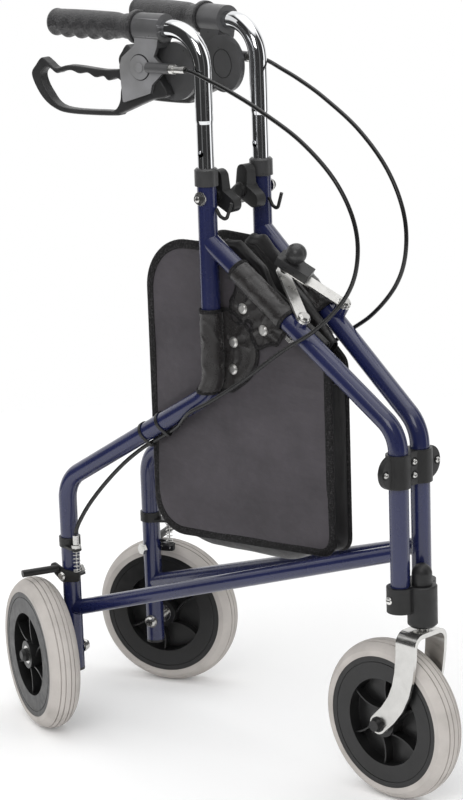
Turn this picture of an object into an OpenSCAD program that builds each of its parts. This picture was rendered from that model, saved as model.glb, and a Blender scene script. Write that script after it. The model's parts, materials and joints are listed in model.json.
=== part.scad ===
// Three wheel rollator: two flat side frames that fold about two upright front tubes,
// a swivelling front wheel, two braked rear wheels, height handles and a cloth bag.
// Side pieces are drawn in their frame's own plane: first value rearward from the front
// tube, second value outward, third value up. Seen from behind, right is the -Y side.

/* [Frame] */
// Angle of each side frame to the middle plane, as it stands
splay = 5.8; // [4:0.1:9]
// Further angle that each side frame opens by
opening = 21.5; // [15:0.5:24]
// Half the distance between the two front tubes
front_half_gap = 18; // [17.5:0.1:22]
// Outer diameter of the frame tubes
tube_d = 22.2; // [20:0.1:24]
// Wall of the frame tubes
tube_wall = 1.5; // [1.2:0.1:2]
// Bend radius of the frame tubes
tube_bend = 42; // [36:1:60]
// Distance from the front tube to the handle post
post_reach = 259; // [240:1:290]
// Distance from the front tube to the rear leg
leg_reach = 496; // [470:1:530]
// Height of the top of the post
post_top = 702; // [680:1:740]
// Height at which the post turns into the slanted tube
post_turn_z = 449; // [430:1:470]
// Height at which the slanted tube turns into the rear leg
leg_turn_z = 307; // [285:1:330]
// Height of the rear leg's lower end
leg_end_z = 68; // [60:1:76]
// Height at which the front tube turns into the diagonal
front_turn_z = 436; // [425:1:450]
// Slope of the diagonal
diagonal_slope = 36.3; // [32:0.1:40]
// Outer diameter of the lower bar
bar_d = 19; // [16:0.1:22]
// Height of the lower bar at the rear leg's axis
bar_rear_z = 143; // [134:1:156]
// Height of the lower bar at the front tube's axis
bar_front_z = 300; // [280:1:320]

/* [Wheels] */
// Wheel diameter over the tread
wheel_d = 187; // [176:1:200]
// Width of the tyre
tyre_w = 37; // [32:1:42]
// Radius at which the tyre sits on the rim
tyre_seat_r = 74; // [68:1:78]
// Outer radius of the rim's flanges
flange_r = 77; // [76:0.5:82]
// Radius of the dished middle of the rim
dish_r = 51; // [44:1:54]
// Number of curved ribs on each rim
rib_count = 6; // [4:1:8]
// Width over the wheel's hub
hub_w = 40; // [38:1:44]
// Distance from the rear leg's axis to the wheel's middle
wheel_offset = 43; // [42:1:52]
// Toe angle of the rear wheels as the frame stands
wheel_toe = 21.5; // [15:0.5:24]
// Diameter of the wheel axles
axle_d = 8; // [6:0.5:10]
// Outer diameter of the ball bearings
bearing_d = 22; // [20:0.5:24]
// Width of the ball bearings
bearing_w = 7; // [5:0.5:8]

/* [Caster] */
// Distance of the caster stem ahead of the front tubes
stem_lead = 16; // [15.5:0.5:24]
// Distance of the front axle behind the stem
caster_trail = 46; // [38:1:52]
// Diameter of the caster stem
stem_d = 10; // [8:0.5:11]
// Outer radius of the stem housing
housing_r = 17; // [16.5:0.5:22]
// Height of the underside of the stem housing
housing_z = 214; // [206:1:222]
// Height of the stem housing
housing_h = 48; // [44:1:56]
// Thickness of the fork's steel strap
fork_t = 4; // [2.5:0.5:4.5]
// Clear width inside the fork
fork_gap = 46.4; // [45:0.2:52]

/* [Handles] */
// Outer diameter of the handle tube above its swage
handle_d = 20.4; // [19.6:0.1:22]
// Outer diameter of the swaged lower end of the handle tube
swage_d = 19; // [17:0.1:19]
// Height of the step where the handle tube is swaged down
swage_z = 758; // [735:1:790]
// Height of the handle tube's lower end
handle_foot_z = 565; // [545:1:585]
// Height of the grip's axis
grip_z = 862; // [840:1:900]
// Distance from the front tube to the rear end of the grip
grip_end = 480; // [460:1:500]
// Pitch of the height holes
hole_pitch = 25; // [20:1:30]
// Number of height holes
hole_count = 5; // [3:1:6]
// Height of the height bolt
height_bolt_z = 674.5; // [660:0.5:690]
// Radius over the lobes of the height knob
knob_r = 29; // [24:1:32]

/* [Bag] */
// Distance from the front tube to the bag's front edge
bag_front = 101; // [90:1:112]
// Distance from the front tube to the bag's rear edge
bag_rear = 365; // [340:1:380]
// Height of the bag's lower edge
bag_low = 264; // [255:1:300]
// Height of the bag's upper edge
bag_top = 618; // [590:1:625]
// Thickness of the padded panel
panel_t = 3; // [2:0.5:4]
// Radius of the bag's rear corners
bag_corner = 42; // [30:1:46]

/* [Brace and brakes] */
// Distance along the frame from the front tube to the brace bolt
brace_reach = 136; // [120:1:145]
// Distance between the eyes of a brace bar
brace_l = 78; // [74:0.5:84]
// Width of a brace bar
brace_w = 16; // [12:1:18]
// Thickness of a brace bar
brace_t = 3; // [2:0.5:4]
// Diameter of the ball on the brace knob
ball_d = 24; // [20:1:28]
// Height of the brake arm's pivot above the tyre
brake_rise = 2; // [0:0.5:4]
// Diameter of the brake shoe bar
shoe_d = 9; // [7:0.5:10]
// Gap from the released shoe to the tyre
shoe_gap = 5.5; // [5:0.5:8]
// Outer diameter of the brake cable's casing
cable_d = 5; // [4:0.5:6]
// Number of curls in the brake's return spring
spring_curls = 5; // [4:1:7]
// Outer diameter of the brake's return spring
spring_d = 9; // [7:0.5:10]
// Wire diameter of the brake's return spring
spring_wire = 1.2; // [0.8:0.1:1.4]

/* [Hidden] */
$fn = 48;

// Colours
navy = "#2b2f57";
chrome = "#c8cbd0";
zinc = "#b4b2aa";
black = "#1e1e20";
rubber = "#c6c1ba";
charcoal = "#3a373d";

// Clearances: seats within one piece of gear, running fits, soft pieces
seat = 0.02;
run = 0.08;
slack = 0.3;
over = 1;

// A bend is a hair thicker than its straight runs, which reach a little way into it
bend_swell = 0.06;
bend_lap = 0.5;

// Frame
tube_r = tube_d / 2;
bore_r = tube_r - tube_wall;
bar_r = bar_d / 2;
wheel_r = wheel_d / 2;
crown_r = 22;
toe_to_frame = wheel_toe + splay;
post_line = [[post_reach, post_top], [post_reach, post_turn_z],
             [leg_reach, leg_turn_z], [leg_reach, leg_end_z]];
slant_slope = atan2(post_turn_z - leg_turn_z, leg_reach - post_reach);
tie_spots = [338, 364];

// Front hinge block and caster, from the floor up
block_z = housing_z + 18;
block_h = housing_h - 19;
clip_floor = 2.2;
front_foot_z = block_z + clip_floor + slack;
clip_r = tube_r + 4.8;
bracket_h = 38;
bracket_round = bracket_h / 2 - 0.5;
bracket_z = front_turn_z - tube_bend * tan((90 - diagonal_slope) / 2) - bracket_h - 2;
bulge_r = tube_r + 3;
web_depth = 7.5;
flange_depth = 3.5;
end_screw = front_half_gap + 24.8;
bracket_end = end_screw + 5.2;
front_line = [[0, front_foot_z], [0, front_turn_z],
              [post_reach, front_turn_z + post_reach * tan(diagonal_slope)]];
crown_gap = 4.5;
crown_top = housing_z - crown_gap;
crown_t = fork_t + 1.5;
axle_x = stem_lead - caster_trail;
arm_out = fork_gap / 2 + fork_t;
cap_r = 11.5;
screw_r = 2;

// The whole stands with its footprint's middle at the origin
rear_reach = leg_reach * cos(splay) + wheel_offset * sin(wheel_toe)
    + (wheel_r - crown_r) * cos(wheel_toe) + crown_r;
front_reach = max(wheel_r + axle_x, stem_lead + housing_r);
shift_x = (rear_reach - front_reach) / 2;

// Handles
swage_r = swage_d / 2;
handle_r = handle_d / 2;
handle_bend = 42;
collar_r = tube_r + 2.4;
collar_top = post_top + 6;
collar_z = post_top - 14;
grip_collar = 25;
grip_r = 15.2;
lever_pivot = [post_reach + 82, grip_z - 44];
clamp_start = post_reach + 52;
clamp_len = 38;
grip_start = clamp_start + clamp_len + 1 + grip_collar;
clamp_r = handle_r + 6.2;
cheek_in = 7;
cheek_out = 12;
lever_half_t = cheek_in - 0.5;
pin_r = 4;
adjuster_side = 15;
adjuster_start = post_reach + 34;
adjuster_end = post_reach + 12;
adjuster_z = lever_pivot[1] + 1;
knob_start = 16;
knob_depth = 15;
lobe_r = 9;

// Outlines about the lever's pivot: the housing's cheeks, the loop lever and its opening
clamp_low = clamp_start - lever_pivot[0];
clamp_high = clamp_low + clamp_len;
neck_top = grip_z - lever_pivot[1] - 6;
cheek_points = [
    [clamp_low + 1, neck_top], [clamp_low + 4, 24], [-21, 13], [-38, -1], [-17, -19], [-14, -29],
    [28, -42], [31, 0], [27, 10], [clamp_high - 1, 25], [clamp_high - 0.5, neck_top]
];
lever_points = [
    [-14, 10], [10, 11], [26, -2], [58, -7], [100, -5], [118, -5], [136, -9], [148, -2],
    [157, 2], [166, -6], [174, -19], [161, -42], [141, -56], [113, -61], [47, -59],
    [35, -55], [-8, -38], [-31, -33], [-33, -26], [-20, -8]
];
lever_opening_points = [
    [36, -30], [34, -20], [42, -15.5], [54, -19], [62, -14.5], [74, -16.5], [86, -12],
    [99, -13.5], [112, -10.5], [127, -13], [135, -15], [148, -9], [159, -18], [150, -37],
    [127, -54], [62, -54], [46, -52], [38, -42]
];
throat_l = 140;
throat_h = 82;

// Bag
panel_face = tube_r + 2;
mid_gap = 0.3;
bag_front_top = front_turn_z + bag_front * tan(diagonal_slope) - 6;
bag_corners = [18, bag_corner, bag_corner + 18, 12, 14];
bag_points = [
    [bag_front + bag_corners[0], bag_low + 8 + bag_corners[0]],
    [bag_rear - bag_corners[1], bag_low + bag_corners[1]],
    [bag_rear - bag_corners[2], bag_top - bag_corners[2]],
    [post_reach, bag_top - bag_corners[3]],
    [bag_front + bag_corners[4], bag_front_top - bag_corners[4]]
];
sleeve_in = tube_r + 0.3;
sleeve_out = tube_r + 2.4;
sleeve_z = 477;
sleeve_h = 66;
diagonal_sleeve = [brace_reach + 14, post_reach - 43];
post_flap = [[-47, -12], [36, 74]];
diagonal_flap = [[6, -52], [70, 50]];
snap_r = 5.5;
snap_spots = [[post_reach - 22, 507], [post_reach - 20, 475],
              [post_reach - 37, 548], [post_reach - 66, 526]];
flap_t = 1.6;

// Brace: the left bar lies over the right one
brace_lift_right = sleeve_out + 0.9;
brace_lift_left = brace_lift_right + brace_t + 6;
brace_pivot_lift = tube_r + 3;
brace_half_span = front_half_gap + (brace_reach - brace_pivot_lift * sin(diagonal_slope)) * sin(splay);
brace_lag = atan2(cos(diagonal_slope) * sin(splay), cos(splay));
brace_reach_share = norm([cos(diagonal_slope) * sin(splay), cos(splay)]);
brace_turn = asin(brace_half_span / (brace_l * brace_reach_share)) + brace_lag;

// Brakes
brake_z = wheel_d + brake_rise;
arm_in = tube_r + 1.7;
arm_t = 3;
spring_side = 12;
spring_s = leg_reach - 21;
tab_z = 224;
tab_t = 3;
pinch_top = brake_z + 7.5;
shoe_z = wheel_d + shoe_gap + shoe_d / 2;
wire_r = 0.8;
tyre_mid = [leg_reach + wheel_offset * sin(toe_to_frame), wheel_offset * cos(toe_to_frame)];

// Route of the right cable's casing, from the lever's adjuster to the leg's adjuster
cable_points = [
    [271, 15, 819], [258, 15.5, 816.5], [238, 16, 810], [206, 17, 799], [166, 18, 782],
    [110, 18, 752], [64, 18, 712], [39, 18, 667], [37, 18, 623], [54, 18, 584],
    [94, 18, 545], [145, 17, 513], [200, 16, 474], [250, 16, 442], [285, 14, 423],
    [312, 3, 401], [330, 0, 390], [350, 0, 378], [370, 0, 366], [400, 1, 343],
    [430, 3, 314], [454, 7, 285], [469, 11, 260], [475, 12, 245]
];
cable_steps = 3;
cable_sides = 8;

// Places for pieces of the right side, its mirror image, the middle and the rear wheels
module middle() translate([shift_x, 0, 0]) children();
module right_side() {
    middle() translate([0, -front_half_gap, 0]) rotate([0, 0, 180 + splay]) children();
}
module left_side() mirror([0, 1, 0]) right_side() children();
module on_rear_axle() {
    translate([leg_reach, 0, wheel_r]) rotate([0, 0, -toe_to_frame]) rotate([-90, 0, 0]) children();
}
module at_rear_wheel() on_rear_axle() translate([0, 0, wheel_offset]) children();
module at_front_wheel() middle() translate([axle_x, 0, wheel_r]) rotate([90, 0, 0]) children();
module at_diagonal(reach) {
    translate([reach, 0, front_turn_z + reach * tan(diagonal_slope)])
        rotate([0, -diagonal_slope, 0]) children();
}
module outward(s, z) translate([s, 0, z]) rotate([-90, 0, 0]) children();

// Bent rods in the frame's plane
function unit(v) = v / norm(v);
function stretched(p, by) = [for (i = [0 : len(p) - 1])
    i == 0 ? p[0] - by * unit(p[1] - p[0])
    : i == len(p) - 1 ? p[i] + by * unit(p[i] - p[i - 1]) : p[i]];

module rod(a, b, r) {
    translate([a[0], 0, a[1]])
        rotate([0, atan2(b[0] - a[0], b[1] - a[1]), 0])
            cylinder(h = norm(b - a), r = r);
}

module bent_rod(p, bend, r) {
    last = len(p) - 1;
    way = [for (i = [0 : last - 1]) unit(p[i + 1] - p[i])];
    cut = [for (i = [0 : last])
        i == 0 || i == last ? 0 : bend * tan(acos(way[i - 1] * way[i]) / 2) - bend_lap];
    for (i = [0 : last - 1])
        rod(p[i] + cut[i] * way[i], p[i + 1] - cut[i + 1] * way[i], r);
    for (i = [1 : last - 1]) {
        turn = way[i - 1][0] * way[i][1] - way[i - 1][1] * way[i][0];
        side = sign(turn) * [-way[i - 1][1], way[i - 1][0]];
        start = p[i] - (cut[i] + bend_lap) * way[i - 1];
        centre = start + bend * side;
        first = turn > 0 ? start - centre : p[i] + (cut[i] + bend_lap) * way[i] - centre;
        translate([centre[0], 0, centre[1]])
            rotate([90, 0, 0])
                rotate([0, 0, atan2(first[1], first[0])])
                    rotate_extrude(angle = acos(way[i - 1] * way[i]))
                        translate([bend, 0])
                            circle(r + bend_swell);
    }
}

module ring(h, outer, inner) {
    difference() {
        cylinder(h = h, r = outer);
        translate([0, 0, -over])
            cylinder(h = h + 2 * over, r = inner);
    }
}

// Swept tubes: one ring of points per step along a route
function spline(p, i, t) = let (
    a = p[max(i - 1, 0)], b = p[i], c = p[i + 1], d = p[min(i + 2, len(p) - 1)])
    0.5 * (2 * b + (c - a) * t + (2 * a - 5 * b + 4 * c - d) * t * t
           + (3 * b - a - 3 * c + d) * t * t * t);
function smooth(p, steps) = concat(
    [for (i = [0 : len(p) - 2]) for (k = [0 : steps - 1]) spline(p, i, k / steps)],
    [p[len(p) - 1]]);
function heading(p, i) = unit(p[min(i + 1, len(p) - 1)] - p[max(i - 1, 0)]);

module swept(p, across, r, sides) {
    count = len(p);
    points = [for (i = [0 : count - 1])
        let (t = heading(p, i), u = unit(across[i] - (across[i] * t) * t), v = cross(t, u))
        for (k = [0 : sides - 1]) p[i] + r * (cos(360 * k / sides) * u + sin(360 * k / sides) * v)];
    walls = [for (i = [0 : count - 2]) for (k = [0 : sides - 1]) let (n = (k + 1) % sides)
        each [[i * sides + k, (i + 1) * sides + k, (i + 1) * sides + n],
              [i * sides + k, (i + 1) * sides + n, i * sides + n]]];
    first = [for (k = [1 : sides - 2]) [0, k, k + 1]];
    tail = (count - 1) * sides;
    last = [for (k = [1 : sides - 2]) [tail, tail + k + 1, tail + k]];
    polyhedron(points = points, faces = concat(walls, first, last));
}

// Wheels, drawn about their own axle
module tyre() {
    groove_w = 1.2;
    groove_depth = 1.4;
    color(rubber) rotate_extrude($fn = 96) difference() {
        intersection() {
            translate([wheel_r - crown_r, 0])
                circle(crown_r);
            translate([tyre_seat_r + seat, -tyre_w / 2])
                square([wheel_r, tyre_w]);
        }
        for (side = [-1, 1]) {
            translate([tyre_seat_r - over, side * tyre_w / 2 - (side > 0 ? 3.5 : 0)])
                square([flange_r - tyre_seat_r + over + seat, 3.5]);
            for (place = [3.5, 9])
                translate([wheel_r - groove_depth - (crown_r - sqrt(crown_r * crown_r - place * place)),
                           side * place - groove_w / 2])
                    square([crown_r, groove_w]);
        }
    }
}

module rim_profile() {
    web_t = 5;
    flange_w = 3;
    wall = 4;
    face_w = 5;
    half_w = tyre_w / 2 - 0.5;
    groove = [1, 0.7];
    bearing_seat = bearing_d / 2 + seat;
    hub_r = bearing_d / 2 + 6;
    translate([dish_r, -half_w])
        square([wall, 2 * half_w]);
    for (side = [0, 1]) mirror([0, side]) difference() {
        translate([dish_r, half_w - face_w]) {
            square([tyre_seat_r - dish_r, face_w]);
            translate([0, face_w - flange_w])
                square([flange_r - dish_r, flange_w]);
        }
        translate([flange_r - 7, half_w - groove[1]])
            square([groove[0], 2 * groove[1]]);
    }
    translate([hub_r - over, -web_t / 2])
        square([dish_r - hub_r + 2 * over, web_t]);
    difference() {
        translate([axle_d / 2 + 1.5, -hub_w / 2])
            square([hub_r - axle_d / 2 - 1.5, hub_w]);
        for (side = [-1, 1])
            translate([0, side * (hub_w / 2 - bearing_w / 2 + over / 2) - (bearing_w + over) / 2])
                square([bearing_seat, bearing_w + over]);
    }
}

module rim() {
    rib_t = 2;
    rib_h = tyre_w - 8;
    sweep_r = 45;
    sweep_at = [56, -20];
    inner = bearing_d / 2 + 5;
    outer = dish_r + 1;
    color(black) {
        rotate_extrude($fn = 96) rim_profile();
        for (i = [0 : rib_count - 1]) rotate([0, 0, i * 360 / rib_count])
            translate([0, 0, -rib_h / 2]) linear_extrude(rib_h) intersection() {
                difference() {
                    translate(sweep_at) circle(sweep_r + rib_t / 2);
                    translate(sweep_at) circle(sweep_r - rib_t / 2);
                }
                difference() {
                    circle(outer);
                    circle(inner);
                }
                rotate([0, 0, atan2(sweep_at[1], sweep_at[0])]) square(2 * outer);
            }
    }
}

module wheel_bearings() {
    color(zinc) for (z = [-hub_w / 2, hub_w / 2 - bearing_w])
        translate([0, 0, z]) ring(bearing_w, bearing_d / 2, axle_d / 2 + run / 2);
}

// Front hinge bracket, in a front and a rear half, that both front tubes turn in
module bracket_plan() {
    blend = 3;
    offset(r = -blend) offset(delta = blend) {
        square([2 * web_depth, 2 * front_half_gap], center = true);
        square([2 * flange_depth, 2 * bracket_end], center = true);
        for (side = [-1, 1]) translate([0, side * front_half_gap]) circle(bulge_r);
    }
}

module hinge_bracket() {
    long = 4 * bracket_end;
    color(black) middle() for (half = [-1, 1]) difference() {
        translate([0, 0, bracket_z]) linear_extrude(bracket_h) bracket_plan();
        bracket_corners(long);
        translate([half > 0 ? -long : -seat, -long / 2, bracket_z - over])
            cube([long, long, bracket_h + 2 * over]);
        for (side = [-1, 1]) translate([0, side * front_half_gap, bracket_z - over])
            cylinder(h = bracket_h + 2 * over, r = tube_r + run);
        middle_screw_spots() rotate([0, 90, 0]) cross_hole(screw_r + seat);
        end_screw_spots() rotate([0, 90, 0]) cross_hole(screw_r + seat);
    }
}

// What the bracket's rounded corners leave out
module bracket_corners(long) {
    translate([-long / 2, 0, bracket_z + bracket_h / 2]) rotate([90, 0, 90])
        linear_extrude(long) difference() {
            square([2 * bracket_end + 2 * over, bracket_h + 2 * over], center = true);
            offset(r = bracket_round) square(
                [2 * (bracket_end - bracket_round), bracket_h - 2 * bracket_round], center = true);
        }
}

module middle_screw_spots() {
    for (z = [0.3, 0.7]) translate([0, 0, bracket_z + z * bracket_h]) children();
}

module end_screw_spots() {
    for (side = [-1, 1]) translate([0, side * end_screw, bracket_z + bracket_h / 2]) children();
}

module hinge_screw(depth) {
    head_h = 2.2;
    head_r = 3.4;
    rotate([0, 90, 0]) {
        translate([0, 0, -depth]) cylinder(h = 2 * depth, r = screw_r);
        translate([0, 0, depth]) pan_head(head_r, head_h);
        translate([0, 0, -depth - head_h]) cylinder(h = head_h, r = head_r, $fn = 6);
    }
}

module hinge_screws() {
    color(zinc) middle() {
        middle_screw_spots() hinge_screw(web_depth);
        end_screw_spots() hinge_screw(flange_depth);
    }
}

// Caster
module caster_housing() {
    tab_x = 10;
    foot_edge = 3;
    top_edge = 1.5;
    color(black) middle() difference() {
        union() {
            translate([stem_lead, 0, housing_z]) {
                cylinder(h = foot_edge, r1 = housing_r - foot_edge, r2 = housing_r);
                translate([0, 0, foot_edge])
                    cylinder(h = housing_h - foot_edge - top_edge, r = housing_r);
                translate([0, 0, housing_h - top_edge])
                    cylinder(h = top_edge, r1 = housing_r, r2 = housing_r - top_edge);
            }
            translate([0, 0, block_z]) linear_extrude(block_h) {
                for (side = [-1, 1]) translate([0, side * front_half_gap]) circle(clip_r);
                translate([-tab_x, -front_half_gap]) square([tab_x + stem_lead, 2 * front_half_gap]);
            }
        }
        for (side = [-1, 1]) translate([0, side * front_half_gap, block_z + clip_floor])
            cylinder(h = housing_h, r = tube_r + run);
        translate([stem_lead, 0, housing_z - over])
            cylinder(h = housing_h + 2 * over, r = stem_d / 2 + 1.5);
        for (z = [housing_z - over, housing_z + housing_h - bearing_w])
            translate([stem_lead, 0, z]) cylinder(h = bearing_w + over, r = bearing_d / 2 + seat);
    }
}

module caster_bearings() {
    color(zinc) middle() for (z = [housing_z, housing_z + housing_h - bearing_w])
        translate([stem_lead, 0, z]) ring(bearing_w, bearing_d / 2, stem_d / 2 + run / 2);
}

module caster_cap() {
    wall = 2;
    skirt = 13;
    base = housing_z + housing_h;
    color(black) middle() translate([stem_lead, 0, base]) difference() {
        union() {
            cylinder(h = skirt, r = cap_r);
            translate([0, 0, skirt]) intersection() {
                sphere(cap_r);
                cylinder(h = cap_r, r = cap_r + over);
            }
        }
        translate([0, 0, -over]) cylinder(h = skirt + over, r = cap_r - wall);
    }
}

module caster_stem() {
    nut_h = 7;
    top = housing_z + housing_h;
    color(zinc) middle() translate([stem_lead, 0, 0]) {
        translate([0, 0, crown_top - crown_t - 1.5])
            cylinder(h = top - crown_top + crown_t + 11.5, r = stem_d / 2);
        translate([0, 0, crown_top]) cylinder(h = crown_gap - 0.3, r = stem_d / 2 + 2);
        translate([0, 0, top + 0.3]) cylinder(h = nut_h, r = stem_d / 2 + 3.5, $fn = 6);
    }
}

module fork_strap() {
    corner_out = 14;
    corner_in = corner_out - fork_t;
    foot = wheel_r - 20;
    difference() {
        union() {
            translate([-arm_out, foot]) square([2 * arm_out, crown_top - corner_out - foot]);
            translate([-arm_out + corner_out, foot])
                square([2 * (arm_out - corner_out), crown_top - foot]);
            for (side = [-1, 1])
                translate([side * (arm_out - corner_out), crown_top - corner_out]) circle(corner_out);
        }
        translate([-fork_gap / 2, foot - over])
            square([fork_gap, crown_top - crown_t - corner_in - foot + over]);
        translate([-fork_gap / 2 + corner_in, foot - over])
            square([fork_gap - 2 * corner_in, crown_top - crown_t - foot + over]);
        for (side = [-1, 1])
            translate([side * (fork_gap / 2 - corner_in), crown_top - crown_t - corner_in])
                circle(corner_in);
    }
}

// The fork's legs run down from the crown and curve back to the axle
function curve(p, t) = pow(1 - t, 3) * p[0] + 3 * pow(1 - t, 2) * t * p[1]
    + 3 * (1 - t) * t * t * p[2] + pow(t, 3) * p[3];

module fork_outline() {
    crown_half = 14.5;
    foot_half = 11.5;
    steps = 6;
    way = [[stem_lead - 2, crown_top], [stem_lead - 3, crown_top - 60],
           [stem_lead - 10, crown_top - 85], [axle_x, wheel_r]];
    for (i = [0 : steps - 1]) hull() for (t = [i, i + 1] / steps)
        translate(curve(way, t)) circle(crown_half + t * (foot_half - crown_half));
}

module caster_fork() {
    color(chrome) middle() difference() {
        intersection() {
            translate([-wheel_d, 0, 0]) rotate([90, 0, 90])
                linear_extrude(2 * wheel_d) fork_strap();
            translate([0, 2 * arm_out, 0]) rotate([90, 0, 0])
                linear_extrude(4 * arm_out) fork_outline();
        }
        translate([axle_x, 2 * arm_out, wheel_r]) rotate([90, 0, 0])
            cylinder(h = 4 * arm_out, r = axle_d / 2 + seat);
        translate([stem_lead, 0, crown_top - crown_t - over])
            cylinder(h = crown_t + 2 * over, r = stem_d / 2 + seat);
    }
}

module caster_axle() {
    nut_h = 6;
    washer_h = 1.2;
    spacer_gap = 0.2;
    spacer_h = fork_gap / 2 - hub_w / 2 - 2 * spacer_gap;
    color(black) at_front_wheel() {
        translate([0, 0, -arm_out - washer_h - nut_h])
            cylinder(h = 2 * (arm_out + washer_h + nut_h), r = axle_d / 2);
        for (side = [0, 1]) mirror([0, 0, side]) {
            translate([0, 0, hub_w / 2 + spacer_gap]) cylinder(h = spacer_h, r = axle_d / 2 + 2);
            translate([0, 0, arm_out + seat]) cylinder(h = washer_h, r = axle_d / 2 + 5);
            translate([0, 0, arm_out + washer_h])
                cylinder(h = nut_h, r1 = axle_d / 2 + 4, r2 = axle_d / 2 + 2.6);
        }
    }
}

// Side frame
module cross_hole(r) cylinder(h = 6 * tube_r, r = r, center = true);

module post_and_leg() {
    color(navy) difference() {
        bent_rod(post_line, tube_bend, tube_r);
        bent_rod(stretched(post_line, over), tube_bend, bore_r);
        outward(post_reach, height_bolt_z) cross_hole(pin_r + run / 2);
        outward(leg_reach, brake_z) cross_hole(pin_r + seat);
        on_rear_axle() cross_hole(axle_d / 2 + seat);
    }
}

module front_tube(lift) {
    boss_r = 8;
    sunk = tube_r * 0.4;
    color(navy) difference() {
        union() {
            bent_rod(front_line, tube_bend, tube_r);
            at_diagonal(brace_reach) translate([0, 0, tube_r - sunk])
                cylinder(h = lift - slack - tube_r + sunk, r = boss_r);
        }
        bent_rod(stretched(front_line, over), tube_bend, bore_r);
        translate([post_reach, 0, 0]) cylinder(h = 2 * post_top, r = tube_r + slack);
        at_diagonal(brace_reach) cross_hole(pin_r + seat);
    }
}

module lower_bar() {
    color(navy) difference() {
        rod([leg_reach, bar_rear_z], [0, bar_front_z], bar_r);
        rod([leg_reach + over, bar_rear_z], [-over, bar_front_z], bar_r - tube_wall);
        translate([leg_reach, 0, 0]) cylinder(h = 2 * bar_front_z, r = tube_r + seat);
        cylinder(h = 2 * bar_front_z, r = tube_r + seat);
    }
}

module post_collar() {
    color(black) translate([post_reach, 0, collar_z]) difference() {
        union() {
            cylinder(h = collar_top - collar_z - 2, r = collar_r);
            translate([0, 0, collar_top - collar_z - 2])
                cylinder(h = 2, r1 = collar_r, r2 = collar_r - 2);
        }
        translate([0, 0, -over]) cylinder(h = post_top - collar_z + over, r = tube_r + seat);
        cylinder(h = 2 * post_top, r = swage_r + run);
    }
}

module pan_head(r, h) {
    cylinder(h = h * 0.5, r = r);
    translate([0, 0, h * 0.5]) cylinder(h = h * 0.5, r1 = r, r2 = r * 0.72);
}

module brace_bolt(lift) {
    nut_h = 5;
    bar_top = lift + brace_t + 0.4;
    at_diagonal(brace_reach) {
        translate([0, 0, -tube_r - nut_h]) cylinder(h = tube_r + nut_h + bar_top, r = pin_r);
        translate([0, 0, bar_top]) pan_head(pin_r + 3.5, 4.5);
        translate([0, 0, -tube_r - nut_h]) cylinder(h = nut_h, r = pin_r + 3, $fn = 6);
    }
}

module frame_bolts(lift) {
    washer_h = 1.6;
    head_h = 5;
    color(zinc) {
        outward(post_reach, height_bolt_z) {
            translate([0, 0, bore_r + seat]) cylinder(h = tube_wall, r = pin_r);
            translate([0, 0, tube_r]) cylinder(h = washer_h, r = pin_r + 4);
            translate([0, 0, tube_r + washer_h]) pan_head(pin_r + 2.5, head_h);
        }
        outward(leg_reach, brake_z) {
            translate([0, 0, -tube_r - washer_h])
                cylinder(h = tube_r + arm_in + arm_t + washer_h + 0.3, r = pin_r);
            translate([0, 0, tube_r]) cylinder(h = washer_h - 0.3, r = pin_r + 2);
            translate([0, 0, arm_in + arm_t + 0.3]) pan_head(pin_r + 1.5, head_h - 1);
            translate([0, 0, -tube_r - washer_h - head_h]) cylinder(h = head_h, r = pin_r + 3, $fn = 6);
        }
        brace_bolt(lift);
    }
}

module cable_tie(s) {
    band = 4;
    wall = 1.2;
    drop = tube_r + cable_d / 2 + 0.5;
    eye_r = cable_d / 2 + 1;
    z = leg_turn_z + (leg_reach - s) * tan(slant_slope);
    translate([s, 0, z]) rotate([0, 90 + slant_slope, 0]) translate([0, 0, -band / 2])
        linear_extrude(band) difference() {
            hull() {
                circle(tube_r + wall + 0.2, $fn = 32);
                translate([drop, 0]) circle(eye_r + wall, $fn = 32);
            }
            hull() {
                circle(tube_r + 0.2, $fn = 32);
                translate([drop, 0]) circle(eye_r, $fn = 32);
            }
        }
}

module plug_and_ties() {
    plug_in = 12;
    color(black) {
        translate([leg_reach, 0, leg_end_z - 3]) cylinder(h = 3, r = tube_r);
        translate([leg_reach, 0, leg_end_z - 1]) cylinder(h = plug_in, r = bore_r - seat);
        for (s = tie_spots) cable_tie(s);
    }
}

module bag_hook() {
    wire = 2;
    top = height_bolt_z - 12;
    start = post_reach - tube_r;
    color(black) bent_rod([[start - 1.8, top], [start - 7, top - 8], [start - 16, top - 12],
                           [start - 24, top + 8]], 5, wire);
}

module brake_bracket() {
    band_h = 12;
    band_t = 2;
    barrel_r = 3.6;
    barrel_h = 16;
    color(black) {
        translate([leg_reach, 0, tab_z]) ring(band_h, tube_r + band_t, tube_r + seat);
        translate([0, 0, tab_z]) difference() {
            linear_extrude(tab_t) hull() {
                translate([leg_reach, 0]) circle(tube_r + band_t / 2, $fn = 32);
                translate([spring_s, spring_side]) circle(spring_d / 2 + 2, $fn = 32);
            }
            translate([leg_reach, 0, -over]) cylinder(h = tab_t + 2 * over, r = tube_r + seat);
            translate([spring_s, spring_side, -over]) cylinder(h = tab_t + 2 * over, r = wire_r + 0.6);
        }
        translate([spring_s, spring_side, tab_z + tab_t]) {
            ring(4, barrel_r + 2, wire_r + 0.6);
            ring(barrel_h, barrel_r, wire_r + 0.6);
        }
    }
}

function spring_point(turn, r, z0, pitch) =
    [r * cos(360 * turn), r * sin(360 * turn), z0 + pitch * turn];

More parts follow.
